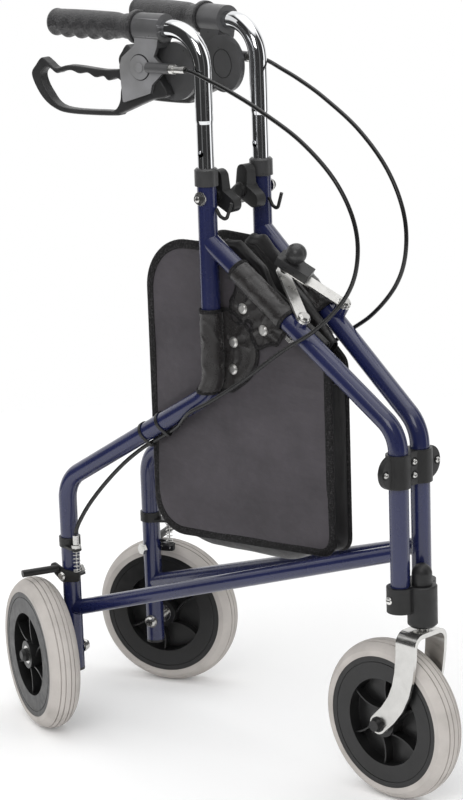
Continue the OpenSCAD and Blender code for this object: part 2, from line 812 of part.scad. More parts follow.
module brake_spring() {
    top = tab_z - 0.1;
    foot = pinch_top + 0.1;
    r = (spring_d - spring_wire) / 2;
    run_out = 2 * spring_wire;
    pitch = (top - foot - 2 * run_out) / spring_curls;
    rings = 8 * spring_curls;
    turns = [for (i = [0 : rings]) spring_point(i / 8, r, foot + run_out, pitch)];
    ends = [[r, 0, foot], [r, 0, foot + spring_wire]];
    tops = [[r, 0, top - spring_wire], [r, 0, top]];
    route = concat(ends, turns, tops);
    across = [for (p = route) [p[0], p[1], 0]];
    spans = [for (i = [0 : rings - 7]) for (j = [i + 7 : rings]) norm(turns[i] - turns[j])];
    gap = min(spans) - spring_wire;
    echo(least_spring_gap = gap);
    color(zinc) translate([spring_s, spring_side, 0]) swept(route, across, spring_wire / 2, 6);
}

module brake_cable() {
    route = smooth(cable_points, cable_steps);
    color(black) {
        swept(route, [for (p = route) [0.1, 1, 0.05]], cable_d / 2, cable_sides);
        translate([spring_s, spring_side, brake_z - 1])
            cylinder(h = tab_z + tab_t + 14 - brake_z, r = wire_r);
    }
}

module axle() {
    washer_h = 1.5;
    head_h = 5;
    cap_h = 7;
    gap = 0.2;
    inner = wheel_offset - hub_w / 2;
    outer = wheel_offset + hub_w / 2;
    color(zinc) on_rear_axle() {
        translate([0, 0, -tube_r - washer_h])
            cylinder(h = tube_r + washer_h + outer + gap, r = axle_d / 2);
        translate([0, 0, -tube_r - washer_h]) cylinder(h = washer_h, r = axle_d / 2 + 4);
        translate([0, 0, -tube_r - washer_h]) mirror([0, 0, 1]) pan_head(axle_d / 2 + 2.5, head_h);
        translate([0, 0, tube_r + gap]) cylinder(h = inner - tube_r - 2 * gap, r = axle_d / 2 + 2);
        translate([0, 0, outer + gap]) pan_head(axle_d / 2 + 4, cap_h);
    }
}

// Bag: each half is a panel with its share of the gusset, hung on sleeves round the tubes
module bag_outline(inset) {
    offset(delta = -inset) hull() for (i = [0 : len(bag_points) - 1])
        translate(bag_points[i]) circle(bag_corners[i], $fn = 32);
}

module behind_middle() {
    far = 2 * leg_reach;
    rotate([0, 0, -180 - splay]) translate([-far, front_half_gap - mid_gap, 0])
        cube([2 * far, far, far]);
}

module bag_gusset() {
    depth = front_half_gap + bag_rear * sin(splay);
    mouth = [[bag_front - 20, bag_front_top - 22], [post_reach, bag_top - 20],
             [bag_rear + 20, bag_top - 40], [bag_rear + 20, bag_top + 20],
             [bag_front - 20, bag_top + 20]];
    difference() {
        translate([0, -panel_face, 0]) rotate([90, 0, 0]) linear_extrude(depth) difference() {
            bag_outline(0);
            bag_outline(panel_t);
            polygon(mouth);
        }
        behind_middle();
    }
}

module bag_half() {
    diagonal_l = (diagonal_sleeve[1] - diagonal_sleeve[0]) / cos(diagonal_slope);
    color(charcoal) {
        translate([0, -panel_face, 0]) rotate([90, 0, 0]) linear_extrude(panel_t) bag_outline(0);
        bag_gusset();
        translate([post_reach, 0, sleeve_z]) ring(sleeve_h, sleeve_out, sleeve_in);
        at_diagonal(diagonal_sleeve[0]) rotate([0, 90, 0]) ring(diagonal_l, sleeve_out, sleeve_in);
        translate([post_reach, flap_t - panel_face, sleeve_z]) rotate([90, 0, 0])
            linear_extrude(flap_t + seat) translate(post_flap[0]) square(post_flap[1]);
        at_diagonal(diagonal_sleeve[0]) translate([0, flap_t - panel_face, 0]) rotate([90, 0, 0])
            linear_extrude(flap_t + seat) translate(diagonal_flap[0]) square(diagonal_flap[1]);
    }
}

module bag_snaps() {
    stud_h = 2;
    color(chrome) for (spot = snap_spots) outward(spot[0], spot[1])
        translate([0, 0, flap_t - panel_face + seat]) pan_head(snap_r, stud_h);
}

// Brake arm: a see-saw on the rear leg with the shoe bar over the tyre
module brake_arm() {
    boss_r = 8;
    end_r = 6;
    bar_from = -26;
    bar_to = 20;
    color(black) difference() {
        union() {
            translate([0, arm_in + arm_t, 0]) rotate([90, 0, 0]) linear_extrude(arm_t) {
                hull() {
                    translate([leg_reach, brake_z]) circle(boss_r, $fn = 32);
                    translate([tyre_mid[0] - 6, shoe_z]) circle(end_r, $fn = 32);
                }
                hull() {
                    translate([leg_reach, brake_z]) circle(boss_r, $fn = 32);
                    translate([spring_s, pinch_top - end_r]) circle(end_r, $fn = 32);
                }
            }
            translate([spring_s - 7, spring_side - 7, pinch_top - 3]) cube([14, 10.5, 3]);
            translate([tyre_mid[0], tyre_mid[1], shoe_z])
                rotate([0, 0, -toe_to_frame]) rotate([-90, 0, 0])
                    translate([0, 0, bar_from]) cylinder(h = bar_to - bar_from, r = shoe_d / 2);
        }
        outward(leg_reach, brake_z) cylinder(h = 2 * arm_in, r = pin_r + run);
        translate([spring_s, spring_side, brake_z - 20]) cylinder(h = 60, r = wire_r + 1.6);
    }
}

// Handle
module handle_tube() {
    foot = [post_reach, handle_foot_z];
    step = [post_reach, swage_z];
    taper = 4;
    upper = [[post_reach, swage_z + taper], [post_reach, grip_z], [grip_end - 6, grip_z]];
    color(chrome) difference() {
        union() {
            rod(foot, step, swage_r);
            translate([post_reach, 0, swage_z]) cylinder(h = taper, r1 = swage_r, r2 = handle_r);
            bent_rod(upper, handle_bend, handle_r);
        }
        rod(foot - [0, over], step + [0, taper], swage_r - tube_wall);
        bent_rod(stretched(upper, over), handle_bend, swage_r - tube_wall);
        for (i = [0 : hole_count - 1])
            outward(post_reach, height_bolt_z + (2 - i) * hole_pitch) cross_hole(pin_r);
    }
}

module grip() {
    wall_r = handle_r + seat;
    collar_start = grip_start - grip_collar;
    bead = 3;
    color(black) translate([collar_start, 0, grip_z]) rotate([0, 90, 0]) rotate_extrude() difference() {
        union() {
            square([grip_r + 4, 6]);
            square([grip_r - 0.4, grip_collar - 8]);
            translate([0, grip_collar - 9]) square([grip_r - 1.8, 12]);
            translate([0, grip_collar]) square([grip_r, grip_end - grip_start - bead]);
            translate([0, grip_collar + grip_end - grip_start - bead]) square([grip_r - bead, bead]);
            translate([grip_r - bead, grip_collar + grip_end - grip_start - bead]) circle(bead);
        }
        translate([0, -over]) square([wall_r, grip_end - collar_start - 5 + over]);
    }
}

module brake_housing() {
    throat_z = lever_pivot[1] + 22;
    boss_r = 6;
    drum_r = 33;
    drum_at = lever_pivot + [-34, -5];
    color(black) difference() {
        union() {
            translate([clamp_start, 0, grip_z]) rotate([0, 90, 0]) cylinder(h = clamp_len, r = clamp_r);
            translate([0, cheek_out, 0]) rotate([90, 0, 0])
                linear_extrude(2 * cheek_out) translate(lever_pivot) soft_polygon(cheek_points, 2);
            outward(lever_pivot[0], lever_pivot[1]) translate([0, 0, -cheek_out - 1.5])
                cylinder(h = 2 * cheek_out + 3, r = 14);
            outward(drum_at[0], drum_at[1]) translate([0, 0, -cheek_out - 1.5])
                cylinder(h = cheek_out + 1.5 - cheek_in, r = drum_r);
            translate([adjuster_start, adjuster_side, adjuster_z]) rotate([0, 90, 0])
                cylinder(h = 34, r = boss_r);
        }
        translate([lever_pivot[0] - throat_l / 2, -cheek_in, throat_z - throat_h])
            cube([throat_l, 2 * cheek_in, throat_h]);
        translate([clamp_start - over, 0, grip_z]) rotate([0, 90, 0])
            cylinder(h = clamp_len + 2 * over, r = handle_r + seat);
        outward(lever_pivot[0], lever_pivot[1]) cross_hole(pin_r + seat);
        translate([adjuster_start - over, adjuster_side, adjuster_z]) rotate([0, 90, 0])
            cylinder(h = 14, r = 3 + seat);
    }
}

module lever_hardware() {
    head_h = 1.6;
    barrel = adjuster_start - adjuster_end - 2;
    color(zinc) {
        outward(lever_pivot[0], lever_pivot[1]) {
            translate([0, 0, -cheek_out - 1.5]) cylinder(h = 2 * cheek_out + 3, r = pin_r);
            for (side = [0, 1]) mirror([0, 0, side])
                translate([0, 0, cheek_out + 1.5 + seat]) pan_head(pin_r + 2, head_h);
        }
        translate([0, adjuster_side, adjuster_z]) rotate([0, 90, 0]) {
            translate([0, 0, adjuster_start - seat]) cylinder(h = 10, r = 3);
            translate([0, 0, adjuster_start - 6]) cylinder(h = 6 - seat, r = 5.6);
            translate([0, 0, adjuster_end + 1]) cylinder(h = barrel - 5, r = 4);
        }
    }
}

// Loop lever with finger scallops along its upper bar
module soft_polygon(points, r) {
    offset(r = r, $fn = 24) offset(delta = -r) polygon(points);
}

module brake_lever() {
    color(black) difference() {
        translate([0, lever_half_t, 0]) rotate([90, 0, 0])
            linear_extrude(2 * lever_half_t) translate(lever_pivot) difference() {
                soft_polygon(lever_points, 2.5);
                soft_polygon(lever_opening_points, 2);
            }
        outward(lever_pivot[0], lever_pivot[1]) cross_hole(pin_r + run);
    }
}

module height_knob() {
    hub_r = 10;
    color(black) translate([post_reach, -knob_start, height_bolt_z]) rotate([90, 0, 0]) {
        for (i = [0 : 2]) rotate([0, 0, 90 + 120 * i]) hull() {
            cylinder(h = knob_depth, r = hub_r, $fn = 32);
            translate([knob_r - lobe_r, 0, 0]) cylinder(h = knob_depth - 2, r = lobe_r, $fn = 32);
        }
        translate([0, 0, knob_depth - seat]) pan_head(hub_r - 1, 4);
        translate([0, 0, tube_r + slack - knob_start])
            cylinder(h = knob_start - tube_r - slack + seat, r = hub_r - 2);
        translate([0, 0, bore_r + 0.3 - knob_start]) cylinder(h = knob_start - bore_r, r = pin_r);
    }
}

// Folding brace between the two diagonals
module on_brace(lift) {
    at_diagonal(brace_reach) rotate([0, 0, -brace_turn]) translate([0, 0, lift]) children();
}

module brace_bar(lift) {
    hole = pin_r + run;
    color(zinc) on_brace(lift) difference() {
        linear_extrude(brace_t) {
            translate([0, -brace_w / 2]) square([brace_l, brace_w]);
            for (x = [0, brace_l]) translate([x, 0]) circle(brace_w / 2);
        }
        for (x = [0, brace_l]) translate([x, 0, -over]) cylinder(h = brace_t + 2 * over, r = hole);
    }
}

module brace_knob() {
    block = [42, 20, 11];
    block_past = 12;
    stem_h = 6;
    base = brace_lift_left + brace_t;
    color(black) left_side() on_brace(base) translate([brace_l, 0, seat]) {
        translate([block_past - block[0], -block[1] / 2, 0]) cube(block);
        translate([-4, 0, block[2]]) cylinder(h = stem_h, r = 5);
        translate([-4, 0, block[2] + ball_d / 2 - 1]) sphere(ball_d / 2);
        translate([0, 0, -brace_t - seat]) cylinder(h = brace_t + over, r = pin_r);
    }
}

hinge_bracket();
hinge_screws();
caster_housing();
caster_cap();
caster_bearings();
caster_fork();
caster_stem();
caster_axle();
at_front_wheel() tyre();  // front_tyre
at_front_wheel() rim();  // front_rim
at_front_wheel() wheel_bearings();  // front_wheel_bearings
brace_knob();
right_side() post_and_leg();  // right_post_and_leg
right_side() front_tube(brace_lift_right);  // right_front_tube
right_side() lower_bar();  // right_lower_bar
right_side() post_collar();  // right_post_collar
right_side() frame_bolts(brace_lift_right);  // right_frame_bolts
right_side() plug_and_ties();  // right_plug_and_ties
right_side() bag_hook();  // right_bag_hook
right_side() brake_bracket();  // right_brake_bracket
right_side() brake_spring();  // right_brake_spring
right_side() brake_cable();  // right_brake_cable
right_side() axle();  // right_axle
right_side() bag_half();  // right_bag_half
right_side() bag_snaps();  // right_bag_snaps
right_side() at_rear_wheel() tyre();  // right_tyre
right_side() at_rear_wheel() rim();  // right_rim
right_side() at_rear_wheel() wheel_bearings();  // right_wheel_bearings
right_side() brake_arm();  // right_brake_arm
right_side() handle_tube();  // right_handle_tube
right_side() grip();  // right_grip
right_side() brake_housing();  // right_brake_housing
right_side() lever_hardware();  // right_lever_hardware
right_side() brake_lever();  // right_brake_lever
right_side() height_knob();  // right_height_knob
right_side() brace_bar(brace_lift_right);  // right_brace_bar
left_side() post_and_leg();  // left_post_and_leg
left_side() front_tube(brace_lift_left);  // left_front_tube
left_side() lower_bar();  // left_lower_bar
left_side() post_collar();  // left_post_collar
left_side() frame_bolts(brace_lift_left);  // left_frame_bolts
left_side() plug_and_ties();  // left_plug_and_ties
left_side() bag_hook();  // left_bag_hook
left_side() brake_bracket();  // left_brake_bracket
left_side() brake_spring();  // left_brake_spring
left_side() brake_cable();  // left_brake_cable
left_side() axle();  // left_axle
left_side() bag_half();  // left_bag_half
left_side() bag_snaps();  // left_bag_snaps
left_side() at_rear_wheel() tyre();  // left_tyre
left_side() at_rear_wheel() rim();  // left_rim
left_side() at_rear_wheel() wheel_bearings();  // left_wheel_bearings
left_side() brake_arm();  // left_brake_arm
left_side() handle_tube();  // left_handle_tube
left_side() grip();  // left_grip
left_side() brake_housing();  // left_brake_housing
left_side() lever_hardware();  // left_lever_hardware
left_side() brake_lever();  // left_brake_lever
left_side() height_knob();  // left_height_knob
left_side() brace_bar(brace_lift_left);  // left_brace_bar
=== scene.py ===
"""Looks of the three wheel rollator: materials, cloth bag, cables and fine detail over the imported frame."""

import json
import math

import bmesh
import bpy
import numpy as np
from mathutils import Matrix, Vector, noise


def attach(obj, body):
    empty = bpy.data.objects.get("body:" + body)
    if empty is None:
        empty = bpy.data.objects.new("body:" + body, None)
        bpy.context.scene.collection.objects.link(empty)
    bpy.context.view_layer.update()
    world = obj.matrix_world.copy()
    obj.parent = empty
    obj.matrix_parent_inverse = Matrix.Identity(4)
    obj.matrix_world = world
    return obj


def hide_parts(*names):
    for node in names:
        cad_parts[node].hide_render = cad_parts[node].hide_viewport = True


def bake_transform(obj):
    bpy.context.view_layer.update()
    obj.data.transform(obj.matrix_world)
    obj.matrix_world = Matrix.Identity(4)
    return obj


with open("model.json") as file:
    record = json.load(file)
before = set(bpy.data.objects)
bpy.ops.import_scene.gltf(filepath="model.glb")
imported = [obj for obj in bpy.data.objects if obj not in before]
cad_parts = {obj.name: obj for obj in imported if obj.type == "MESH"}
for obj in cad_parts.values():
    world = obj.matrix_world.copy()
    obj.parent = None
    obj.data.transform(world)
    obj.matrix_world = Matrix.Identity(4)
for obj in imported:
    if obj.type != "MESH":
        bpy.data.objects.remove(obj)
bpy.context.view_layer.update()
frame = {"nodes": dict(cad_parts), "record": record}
nodes = frame["nodes"]
joints = {joint["name"]: joint for joint in frame["record"]["behaviour"]["joints"]}
fold_axis = Vector(joints["right_fold"]["pos_m"])

# Camera, fitted to the photo (pixels of a 463 x 800 picture, metres)
IMAGE_H = 800
FOCAL_PX = 2762.4
SENSOR_MM = 24
CAMERA_AT = (fold_axis.x + 1.9421, -2.1921, 1.2187)
VIEW_RISE = math.radians(14.25)
VIEW_TURN = math.radians(-44.688)
VIEW_ROLL = math.radians(-1.92)


def add_camera():
    """The photo's camera, from its place and its angles."""
    data = bpy.data.cameras.new("photo_camera")
    data.sensor_fit = "VERTICAL"
    data.sensor_height = SENSOR_MM
    data.lens = FOCAL_PX * SENSOR_MM / IMAGE_H
    data.clip_end = 50
    camera = bpy.data.objects.new("photo_camera", data)
    bpy.context.scene.collection.objects.link(camera)
    back = Vector((math.cos(VIEW_RISE) * math.cos(VIEW_TURN),
                   math.cos(VIEW_RISE) * math.sin(VIEW_TURN), math.sin(VIEW_RISE)))
    level = Vector((-math.sin(VIEW_TURN), math.cos(VIEW_TURN), 0))
    rise = back.cross(level)
    right = math.cos(VIEW_ROLL) * level + math.sin(VIEW_ROLL) * rise
    up = math.cos(VIEW_ROLL) * rise - math.sin(VIEW_ROLL) * level
    turn = Matrix((right, up, back)).transposed()
    camera.matrix_world = Matrix.Translation(CAMERA_AT) @ turn.to_4x4()
    bpy.context.scene.camera = camera


# Materials
class Shader:
    """A principled material with short calls for the nodes that vary it."""

    def __init__(self, name, colour, rough, metal=0.0, **sockets):
        self.material = bpy.data.materials.new(name)
        self.material.use_nodes = True
        self.tree = self.material.node_tree
        self.bsdf = self.tree.nodes["Principled BSDF"]
        self.set("Base Color", (*colour, 1))
        self.set("Roughness", rough)
        self.set("Metallic", metal)
        for key, value in sockets.items():
            self.set(key.replace("_", " "), value)
        self.place = self.node("ShaderNodeTexCoord").outputs["Object"]
        self.height = None

    def set(self, key, value):
        self.bsdf.inputs[key].default_value = value

    def node(self, kind, **values):
        made = self.tree.nodes.new(kind)
        for key, value in values.items():
            if key in made.inputs:
                made.inputs[key].default_value = value
            else:
                setattr(made, key, value)
        return made

    def link(self, a, b):
        self.tree.links.new(a, b)

    def scaled(self, stretch):
        mapping = self.node("ShaderNodeMapping")
        mapping.inputs["Scale"].default_value = stretch
        self.link(self.place, mapping.inputs["Vector"])
        return mapping.outputs["Vector"]

    def noise(self, scale, detail=3.0, stretch=None):
        made = self.node("ShaderNodeTexNoise", Scale=scale, Detail=detail)
        self.link(self.scaled(stretch) if stretch else self.place, made.inputs["Vector"])
        return made.outputs["Fac"]

    def ramp(self, value, low, high, a, b):
        made = self.node("ShaderNodeMapRange")
        for key, number in zip(("From Min", "From Max", "To Min", "To Max"), (low, high, a, b)):
            made.inputs[key].default_value = number
        self.link(value, made.inputs["Value"])
        return made.outputs["Result"]

    def colours(self, value, stops):
        made = self.node("ShaderNodeValToRGB")
        elements = made.color_ramp.elements
        while len(elements) < len(stops):
            elements.new(0.5)
        for element, (at, colour) in zip(elements, stops):
            element.position = at
            element.color = (*colour, 1)
        self.link(value, made.inputs["Fac"])
        self.link(made.outputs["Color"], self.bsdf.inputs["Base Color"])

    def rough(self, value, low, high):
        self.link(self.ramp(value, 0.3, 0.7, low, high), self.bsdf.inputs["Roughness"])

    def round_edges(self, r):
        made = self.node("ShaderNodeBevel", samples=4, Radius=r)
        self.height = made.outputs["Normal"]

    def bump(self, value, strength, distance):
        made = self.node("ShaderNodeBump", Strength=strength, Distance=distance)
        self.link(value, made.inputs["Height"])
        if self.height is not None:
            self.link(self.height, made.inputs["Normal"])
        self.height = made.outputs["Normal"]
        self.link(self.height, self.bsdf.inputs["Normal"])


def navy_paint():
    s = Shader("navy_paint", (0.01, 0.0135, 0.058), 0.26, Coat_Weight=0.5, Coat_Roughness=0.04)
    s.colours(s.noise(7, 4), [(0.35, (0.009, 0.012, 0.052)), (0.65, (0.012, 0.016, 0.066))])
    s.rough(s.noise(60, 4), 0.24, 0.29)
    s.bump(s.noise(160, 1), 0.02, 0.0004)
    return s.material


def chrome():
    s = Shader("chrome_plate", (0.82, 0.83, 0.85), 0.05, 1.0)
    s.colours(s.noise(18, 3), [(0.35, (0.78, 0.79, 0.81)), (0.65, (0.86, 0.87, 0.885))])
    s.rough(s.noise(45, 5), 0.03, 0.1)
    s.bump(s.noise(32, 1), 0.04, 0.003)
    return s.material


def zinc(name, level, rough):
    s = Shader(name, (level, level, level * 0.96), rough, 1.0)
    s.colours(s.noise(60, 3), [(0.3, (level * 0.93, level * 0.92, level * 0.89)),
                               (0.7, (level * 1.07, level * 1.06, level * 1.03))])
    s.rough(s.noise(140, 3), rough * 0.85, rough * 1.2)
    s.round_edges(0.0004)
    s.bump(s.noise(300, 2, (1, 1, 0.15)), 0.012, 0.0003)
    return s.material


def moulded_black(name, level, low, high, grain):
    s = Shader(name, (level, level, level * 1.05), (low + high) / 2)
    s.colours(s.noise(25, 4), [(0.3, (level * 0.8,) * 3), (0.7, (level * 1.25, level * 1.25, level * 1.3))])
    s.rough(s.noise(120, 4), low, high)
    s.round_edges(0.0008)
    s.bump(s.noise(grain, 2), 0.22, 0.0004)
    return s.material


def tyre_rubber():
    s = Shader("tyre_rubber", (0.45, 0.42, 0.39), 0.7)
    s.colours(s.noise(30, 6), [(0.25, (0.38, 0.355, 0.33)), (0.5, (0.45, 0.42, 0.395)),
                               (0.8, (0.51, 0.48, 0.45))])
    s.rough(s.noise(160, 3), 0.6, 0.8)
    s.bump(s.noise(600, 3), 0.12, 0.0005)
    return s.material


def grip_rubber():
    s = Shader("grip_rubber", (0.025, 0.025, 0.026), 0.4, Specular_IOR_Level=0.7)
    s.colours(s.noise(700, 2), [(0.3, (0.01, 0.01, 0.011)), (0.7, (0.046, 0.045, 0.047))])
    s.rough(s.noise(200, 3), 0.28, 0.44)
    cells = s.node("ShaderNodeTexVoronoi", Scale=520.0)
    s.link(s.place, cells.inputs["Vector"])
    s.bump(cells.outputs["Distance"], 0.5, 0.0012)
    return s.material


def woven(name, colour, threads, low, high, depth, crease, contrast=0.3, crumple=False):
    """Cloth of crossing threads; low and high bound its roughness, crease is the strength of its folds."""
    s = Shader(name, colour, (low + high) / 2, Sheen_Weight=0.1, Sheen_Roughness=0.4,
               Specular_IOR_Level=0.6 if crumple else 0.35)
    both = s.node("ShaderNodeMath", operation="ADD")
    for k, way in enumerate(("Z", "X")):
        wave = s.node("ShaderNodeTexWave", Scale=threads, Distortion=1.5, Detail=1.0, bands_direction=way)
        s.link(s.place, wave.inputs["Vector"])
        s.link(wave.outputs["Fac"], both.inputs[k])
    tone = s.node("ShaderNodeMath", operation="MULTIPLY_ADD")
    tone.inputs[1].default_value = 0.22
    s.link(both.outputs["Value"], tone.inputs[0])
    s.link(s.noise(14, 5), tone.inputs[2])
    s.colours(tone.outputs["Value"], [(0.42, tuple(c * (1 - contrast) for c in colour)),
                                      (1.0, tuple(c * (1 + 1.6 * contrast) for c in colour))])
    s.rough(s.noise(120, 3), low, high)
    s.bump(both.outputs["Value"], 0.35, depth)
    if crumple:
        folds = s.node("ShaderNodeTexNoise", noise_type="RIDGED_MULTIFRACTAL", Scale=22.0, Detail=0.6)
        s.link(s.place, folds.inputs["Vector"])
        s.bump(folds.outputs["Fac"], crease, 0.003)
    else:
        s.bump(s.noise(24, 3, (1, 1, 2.4)), crease, 0.006)
    return s.material


def tape():
    """Coarse binding tape with light flecks of its weave."""
    s = Shader("binding_tape", (0.01, 0.0095, 0.01), 0.7, Specular_IOR_Level=0.3)
    flecks = s.noise(650, 1)
    s.colours(flecks, [(0.4, (0.003, 0.003, 0.003)), (0.56, (0.01, 0.009, 0.01)),
                       (0.7, (0.035, 0.033, 0.035))])
    s.rough(s.noise(200, 2), 0.6, 0.8)
    s.bump(flecks, 0.5, 0.0012)
    return s.material


MATERIALS = {
    "navy": navy_paint(),
    "chrome": chrome(),
    "zinc": zinc("zinc_plate", 0.62, 0.24),
    "bright_zinc": zinc("bright_zinc", 0.78, 0.3),
    "satin_steel": zinc("satin_steel", 0.66, 0.22),
    "black": moulded_black("moulded_black", 0.009, 0.34, 0.5, 900),
    "rim_black": moulded_black("rim_black", 0.009, 0.28, 0.42, 500),
    "gloss_black": moulded_black("gloss_black", 0.026, 0.26, 0.36, 300),
    "lever_plastic": moulded_black("lever_plastic", 0.024, 0.32, 0.46, 700),
    "collar_plastic": moulded_black("collar_plastic", 0.04, 0.27, 0.4, 700),
    "housing_plastic": moulded_black("housing_plastic", 0.064, 0.27, 0.4, 700),
    # Painted light: a lighter copy of the housing plastic, for the housing's outer cheek faces shown as lit
    "painted_lit_housing": moulded_black("painted_lit_housing", 0.18, 0.42, 0.56, 700),
    "grip_rubber": grip_rubber(),
    "tyre_rubber": tyre_rubber(),
    "bag_cloth": woven("bag_cloth", (0.047, 0.042, 0.048), 300.0, 0.42, 0.6, 0.0004, 0.4),
    "cable_casing": moulded_black("cable_casing", 0.008, 0.2, 0.32, 700),
    "strap_cloth": woven("strap_cloth", (0.016, 0.0145, 0.0145), 300.0, 0.24, 0.34, 0.0002, 0.2, 0.2, True),
    "gusset": woven("gusset_cloth", (0.004, 0.0036, 0.0039), 300.0, 0.32, 0.48, 0.0003, 0.5, 0.3, True),
    "binding": tape(),
    "thread": woven("thread", (0.012, 0.011, 0.012), 700.0, 0.5, 0.7, 0.0002, 0.0),
    "snap": zinc("snap_steel", 0.8, 0.36),
    # Painted shade: near-black for the shade inside screw recesses, round the bracket's screws and along the
    # housing's moulded circles
    "recess_shade": moulded_black("screw_recess", 0.004, 0.5, 0.7, 900),
}


# Nodes whose look isn't the one of their slot, without their first word
LOOKS = {
    "rim": "rim_black",
    "bag_snaps": "snap",
    "brace_bar": "bright_zinc",
    "brake_spring": "bright_zinc",
    "fork": "satin_steel",
    "brake_housing": "housing_plastic",
    "lever_hardware": "bright_zinc",
    "post_collar": "collar_plastic",
}


def dress_nodes():
    """Give each node of the construction its look."""
    slots = {part["node"]: part["material_slot"] for part in frame["record"]["subparts"]}
    for name, node in nodes.items():
        kind = name.split("_", 1)[1]
        node.data.materials.clear()
        node.data.materials.append(MATERIALS[LOOKS.get(kind, slots[name])])


# Side frames: millimetres rearward, outward and up, as in the construction
MM = 0.001
SIDES = ("right", "left")
SPLAY = math.radians(5.8)
HALF_GAP = -fold_axis.y / MM
SHIFT_X = fold_axis.x / MM
AXLE_Z = joints["right_wheel_spin"]["pos_m"][2] / MM
POST_S = 259.0
POST_LOW = 449
POST_TOP = 702
LEG_S = 496.0
LEG_TOP = 307
TOE = math.radians(27.3)
SLOPE = math.radians(36.3)
FRONT_TURN_Z = 436.0
STRAP_S = 168.0
DIAGONAL_ZERO = (STRAP_S, FRONT_TURN_Z + STRAP_S * math.tan(SLOPE))
DIAGONAL_TOP = 626
BAR_REAR = 143
BAR_FRONT = 300
GRIP_Z = 862.0
TUBE_R = 11.1
TUBE_LINES = (
    ((POST_S, POST_LOW), (POST_S, POST_TOP)),
    ((POST_S, POST_LOW), (LEG_S, LEG_TOP)),
    ((0, FRONT_TURN_Z), (POST_S, DIAGONAL_TOP)),
    ((LEG_S, BAR_REAR), (0, BAR_FRONT)),
)


def spot(side, point):
    """The place in the scene of a point of a side frame."""
    s, o, z = point
    x = SHIFT_X - s * math.cos(SPLAY) + o * math.sin(SPLAY)
    y = HALF_GAP + s * math.sin(SPLAY) + o * math.cos(SPLAY)
    return (x * MM, (-y if side == "right" else y) * MM, z * MM)


def local(side, point):
    """The place of a point of the scene in its side frame."""
    x = SHIFT_X - point[0] / MM
    y = (-point[1] if side == "right" else point[1]) / MM - HALF_GAP
    s = x * math.cos(SPLAY) + y * math.sin(SPLAY)
    o = y * math.cos(SPLAY) - x * math.sin(SPLAY)
    return (s, o, point[2] / MM)


def paint(side, kind, look, where):
    """Give the faces of a side's node whose middle passes the test another look."""
    node = nodes[f"{side}_{kind}"]
    node.data.materials.append(MATERIALS[look])
    last = len(node.data.materials) - 1
    for face in node.data.polygons:
        if where(*local(side, node.matrix_world @ face.center)):
            face.material_index = last


# Bounds of the faces that get another look than the rest of their node
HUB_END = 62.5
BOLT_LOW = 640
BOLT_HEAD_O = TUBE_R + 1.7
LEVER_PIN_S = 320
CHEEK_O = 12.0
BOSS_O = 13.5
ADJUSTER_LOW = 227
ADJUSTER_R = 6.5


def paint_details(side):
    """Black axle caps and bolt heads, the bright adjuster on the leg, and painted light: lighter housing
    plastic on the outer cheeks and lever pins.
    """
    foot_s, foot_o, _ = CABLE_POINTS[-1]
    paint(side, "axle", "black", lambda s, o, z: (s - LEG_S) * math.sin(TOE) + o * math.cos(TOE) > HUB_END)
    paint(side, "frame_bolts", "gloss_black", lambda s, o, z: z > BOLT_LOW and o > BOLT_HEAD_O)
    # Painted light: the lever pins' ends and the housing's outer cheek faces take the lighter copy of the
    # housing plastic
    paint(side, "lever_hardware", "painted_lit_housing", lambda s, o, z: s > LEVER_PIN_S)
    paint(side, "brake_housing", "painted_lit_housing",
          lambda s, o, z: min(abs(o - CHEEK_O), abs(o - BOSS_O)) < 0.1)
    paint(side, "brake_bracket", "zinc",
          lambda s, o, z: z > ADJUSTER_LOW and math.hypot(s - foot_s, o - foot_o) < ADJUSTER_R)


def on_diagonal(d, n, o):
    """A point d along the diagonal from its zero, n above its axis and o outward."""
    s, z = DIAGONAL_ZERO
    return (s + d * math.cos(SLOPE) - n * math.sin(SLOPE), o, z + d * math.sin(SLOPE) + n * math.cos(SLOPE))


def from_diagonal(s, z):
    """How far along the diagonal and above its axis a point lies."""
    ds, dz = s - DIAGONAL_ZERO[0], z - DIAGONAL_ZERO[1]
    return (ds * math.cos(SLOPE) + dz * math.sin(SLOPE), dz * math.cos(SLOPE) - ds * math.sin(SLOPE))


def ripple(x, y, z, seed=0.0):
    """Smooth noise at a place, another one for each seed."""
    return noise.noise(Vector((x + seed, y - seed, z + 0.5 * seed)))


def crumple(x, y, z, seed=0.0):
    """Thin ridges where creases of the cloth meet, from 0 to 1."""
    return max(0.0, 1 - 4.5 * abs(ripple(x, y, z, seed)))


def snap_folds(ds, dz, seed):
    """Height of the creases that run out from a snap, at a place ds, dz away from it."""
    turn = math.atan2(dz, ds)
    ray = max(0.0, math.cos(3.5 * turn + seed + 1.2 * ripple(ds / 9, dz / 9, 0.6, seed))) ** 5
    far = math.hypot(ds, dz)
    return ray * ease(far, 5.5, 10) * (1 - ease(far, 15, 30))


def flap_relief(a, b, snaps, seed):
    """Height of a strap's flap at a place a, b: light crumples, and creases out from its snaps."""
    away = [(a - c, b - d) for c, d in snaps]
    near = min(math.hypot(da, db) for da, db in away)
    rays = max(snap_folds(da, db, seed + 2 * k) for k, (da, db) in enumerate(away))
    return 0.7 * crumple(a / 24, b / 24, 3.3, seed) * ease(near, 5, 11) + 2.2 * rays


def ease(value, low, high):
    """A soft step from 0 at low to 1 at high."""
    t = min(max((value - low) / (high - low), 0), 1)
    return t * t * (3 - 2 * t)


def add_piece(name, side, points, faces, look):
    """A piece from points in millimetres of its side frame."""
    mesh = bpy.data.meshes.new(name)
    mesh.from_pydata([spot(side, p) for p in points], [], faces)
    return finish_piece(name, mesh, look)


def finish_piece(name, mesh, look):
    """A smooth piece from a mesh, with its look."""
    work = bmesh.new()
    work.from_mesh(mesh)
    bmesh.ops.recalc_face_normals(work, faces=work.faces)
    for face in work.faces:
        face.smooth = True
    work.to_mesh(mesh)
    work.free()
    mesh.materials.append(MATERIALS[look])
    piece = bpy.data.objects.new(name, mesh)
    bpy.context.scene.collection.objects.link(piece)
    return piece


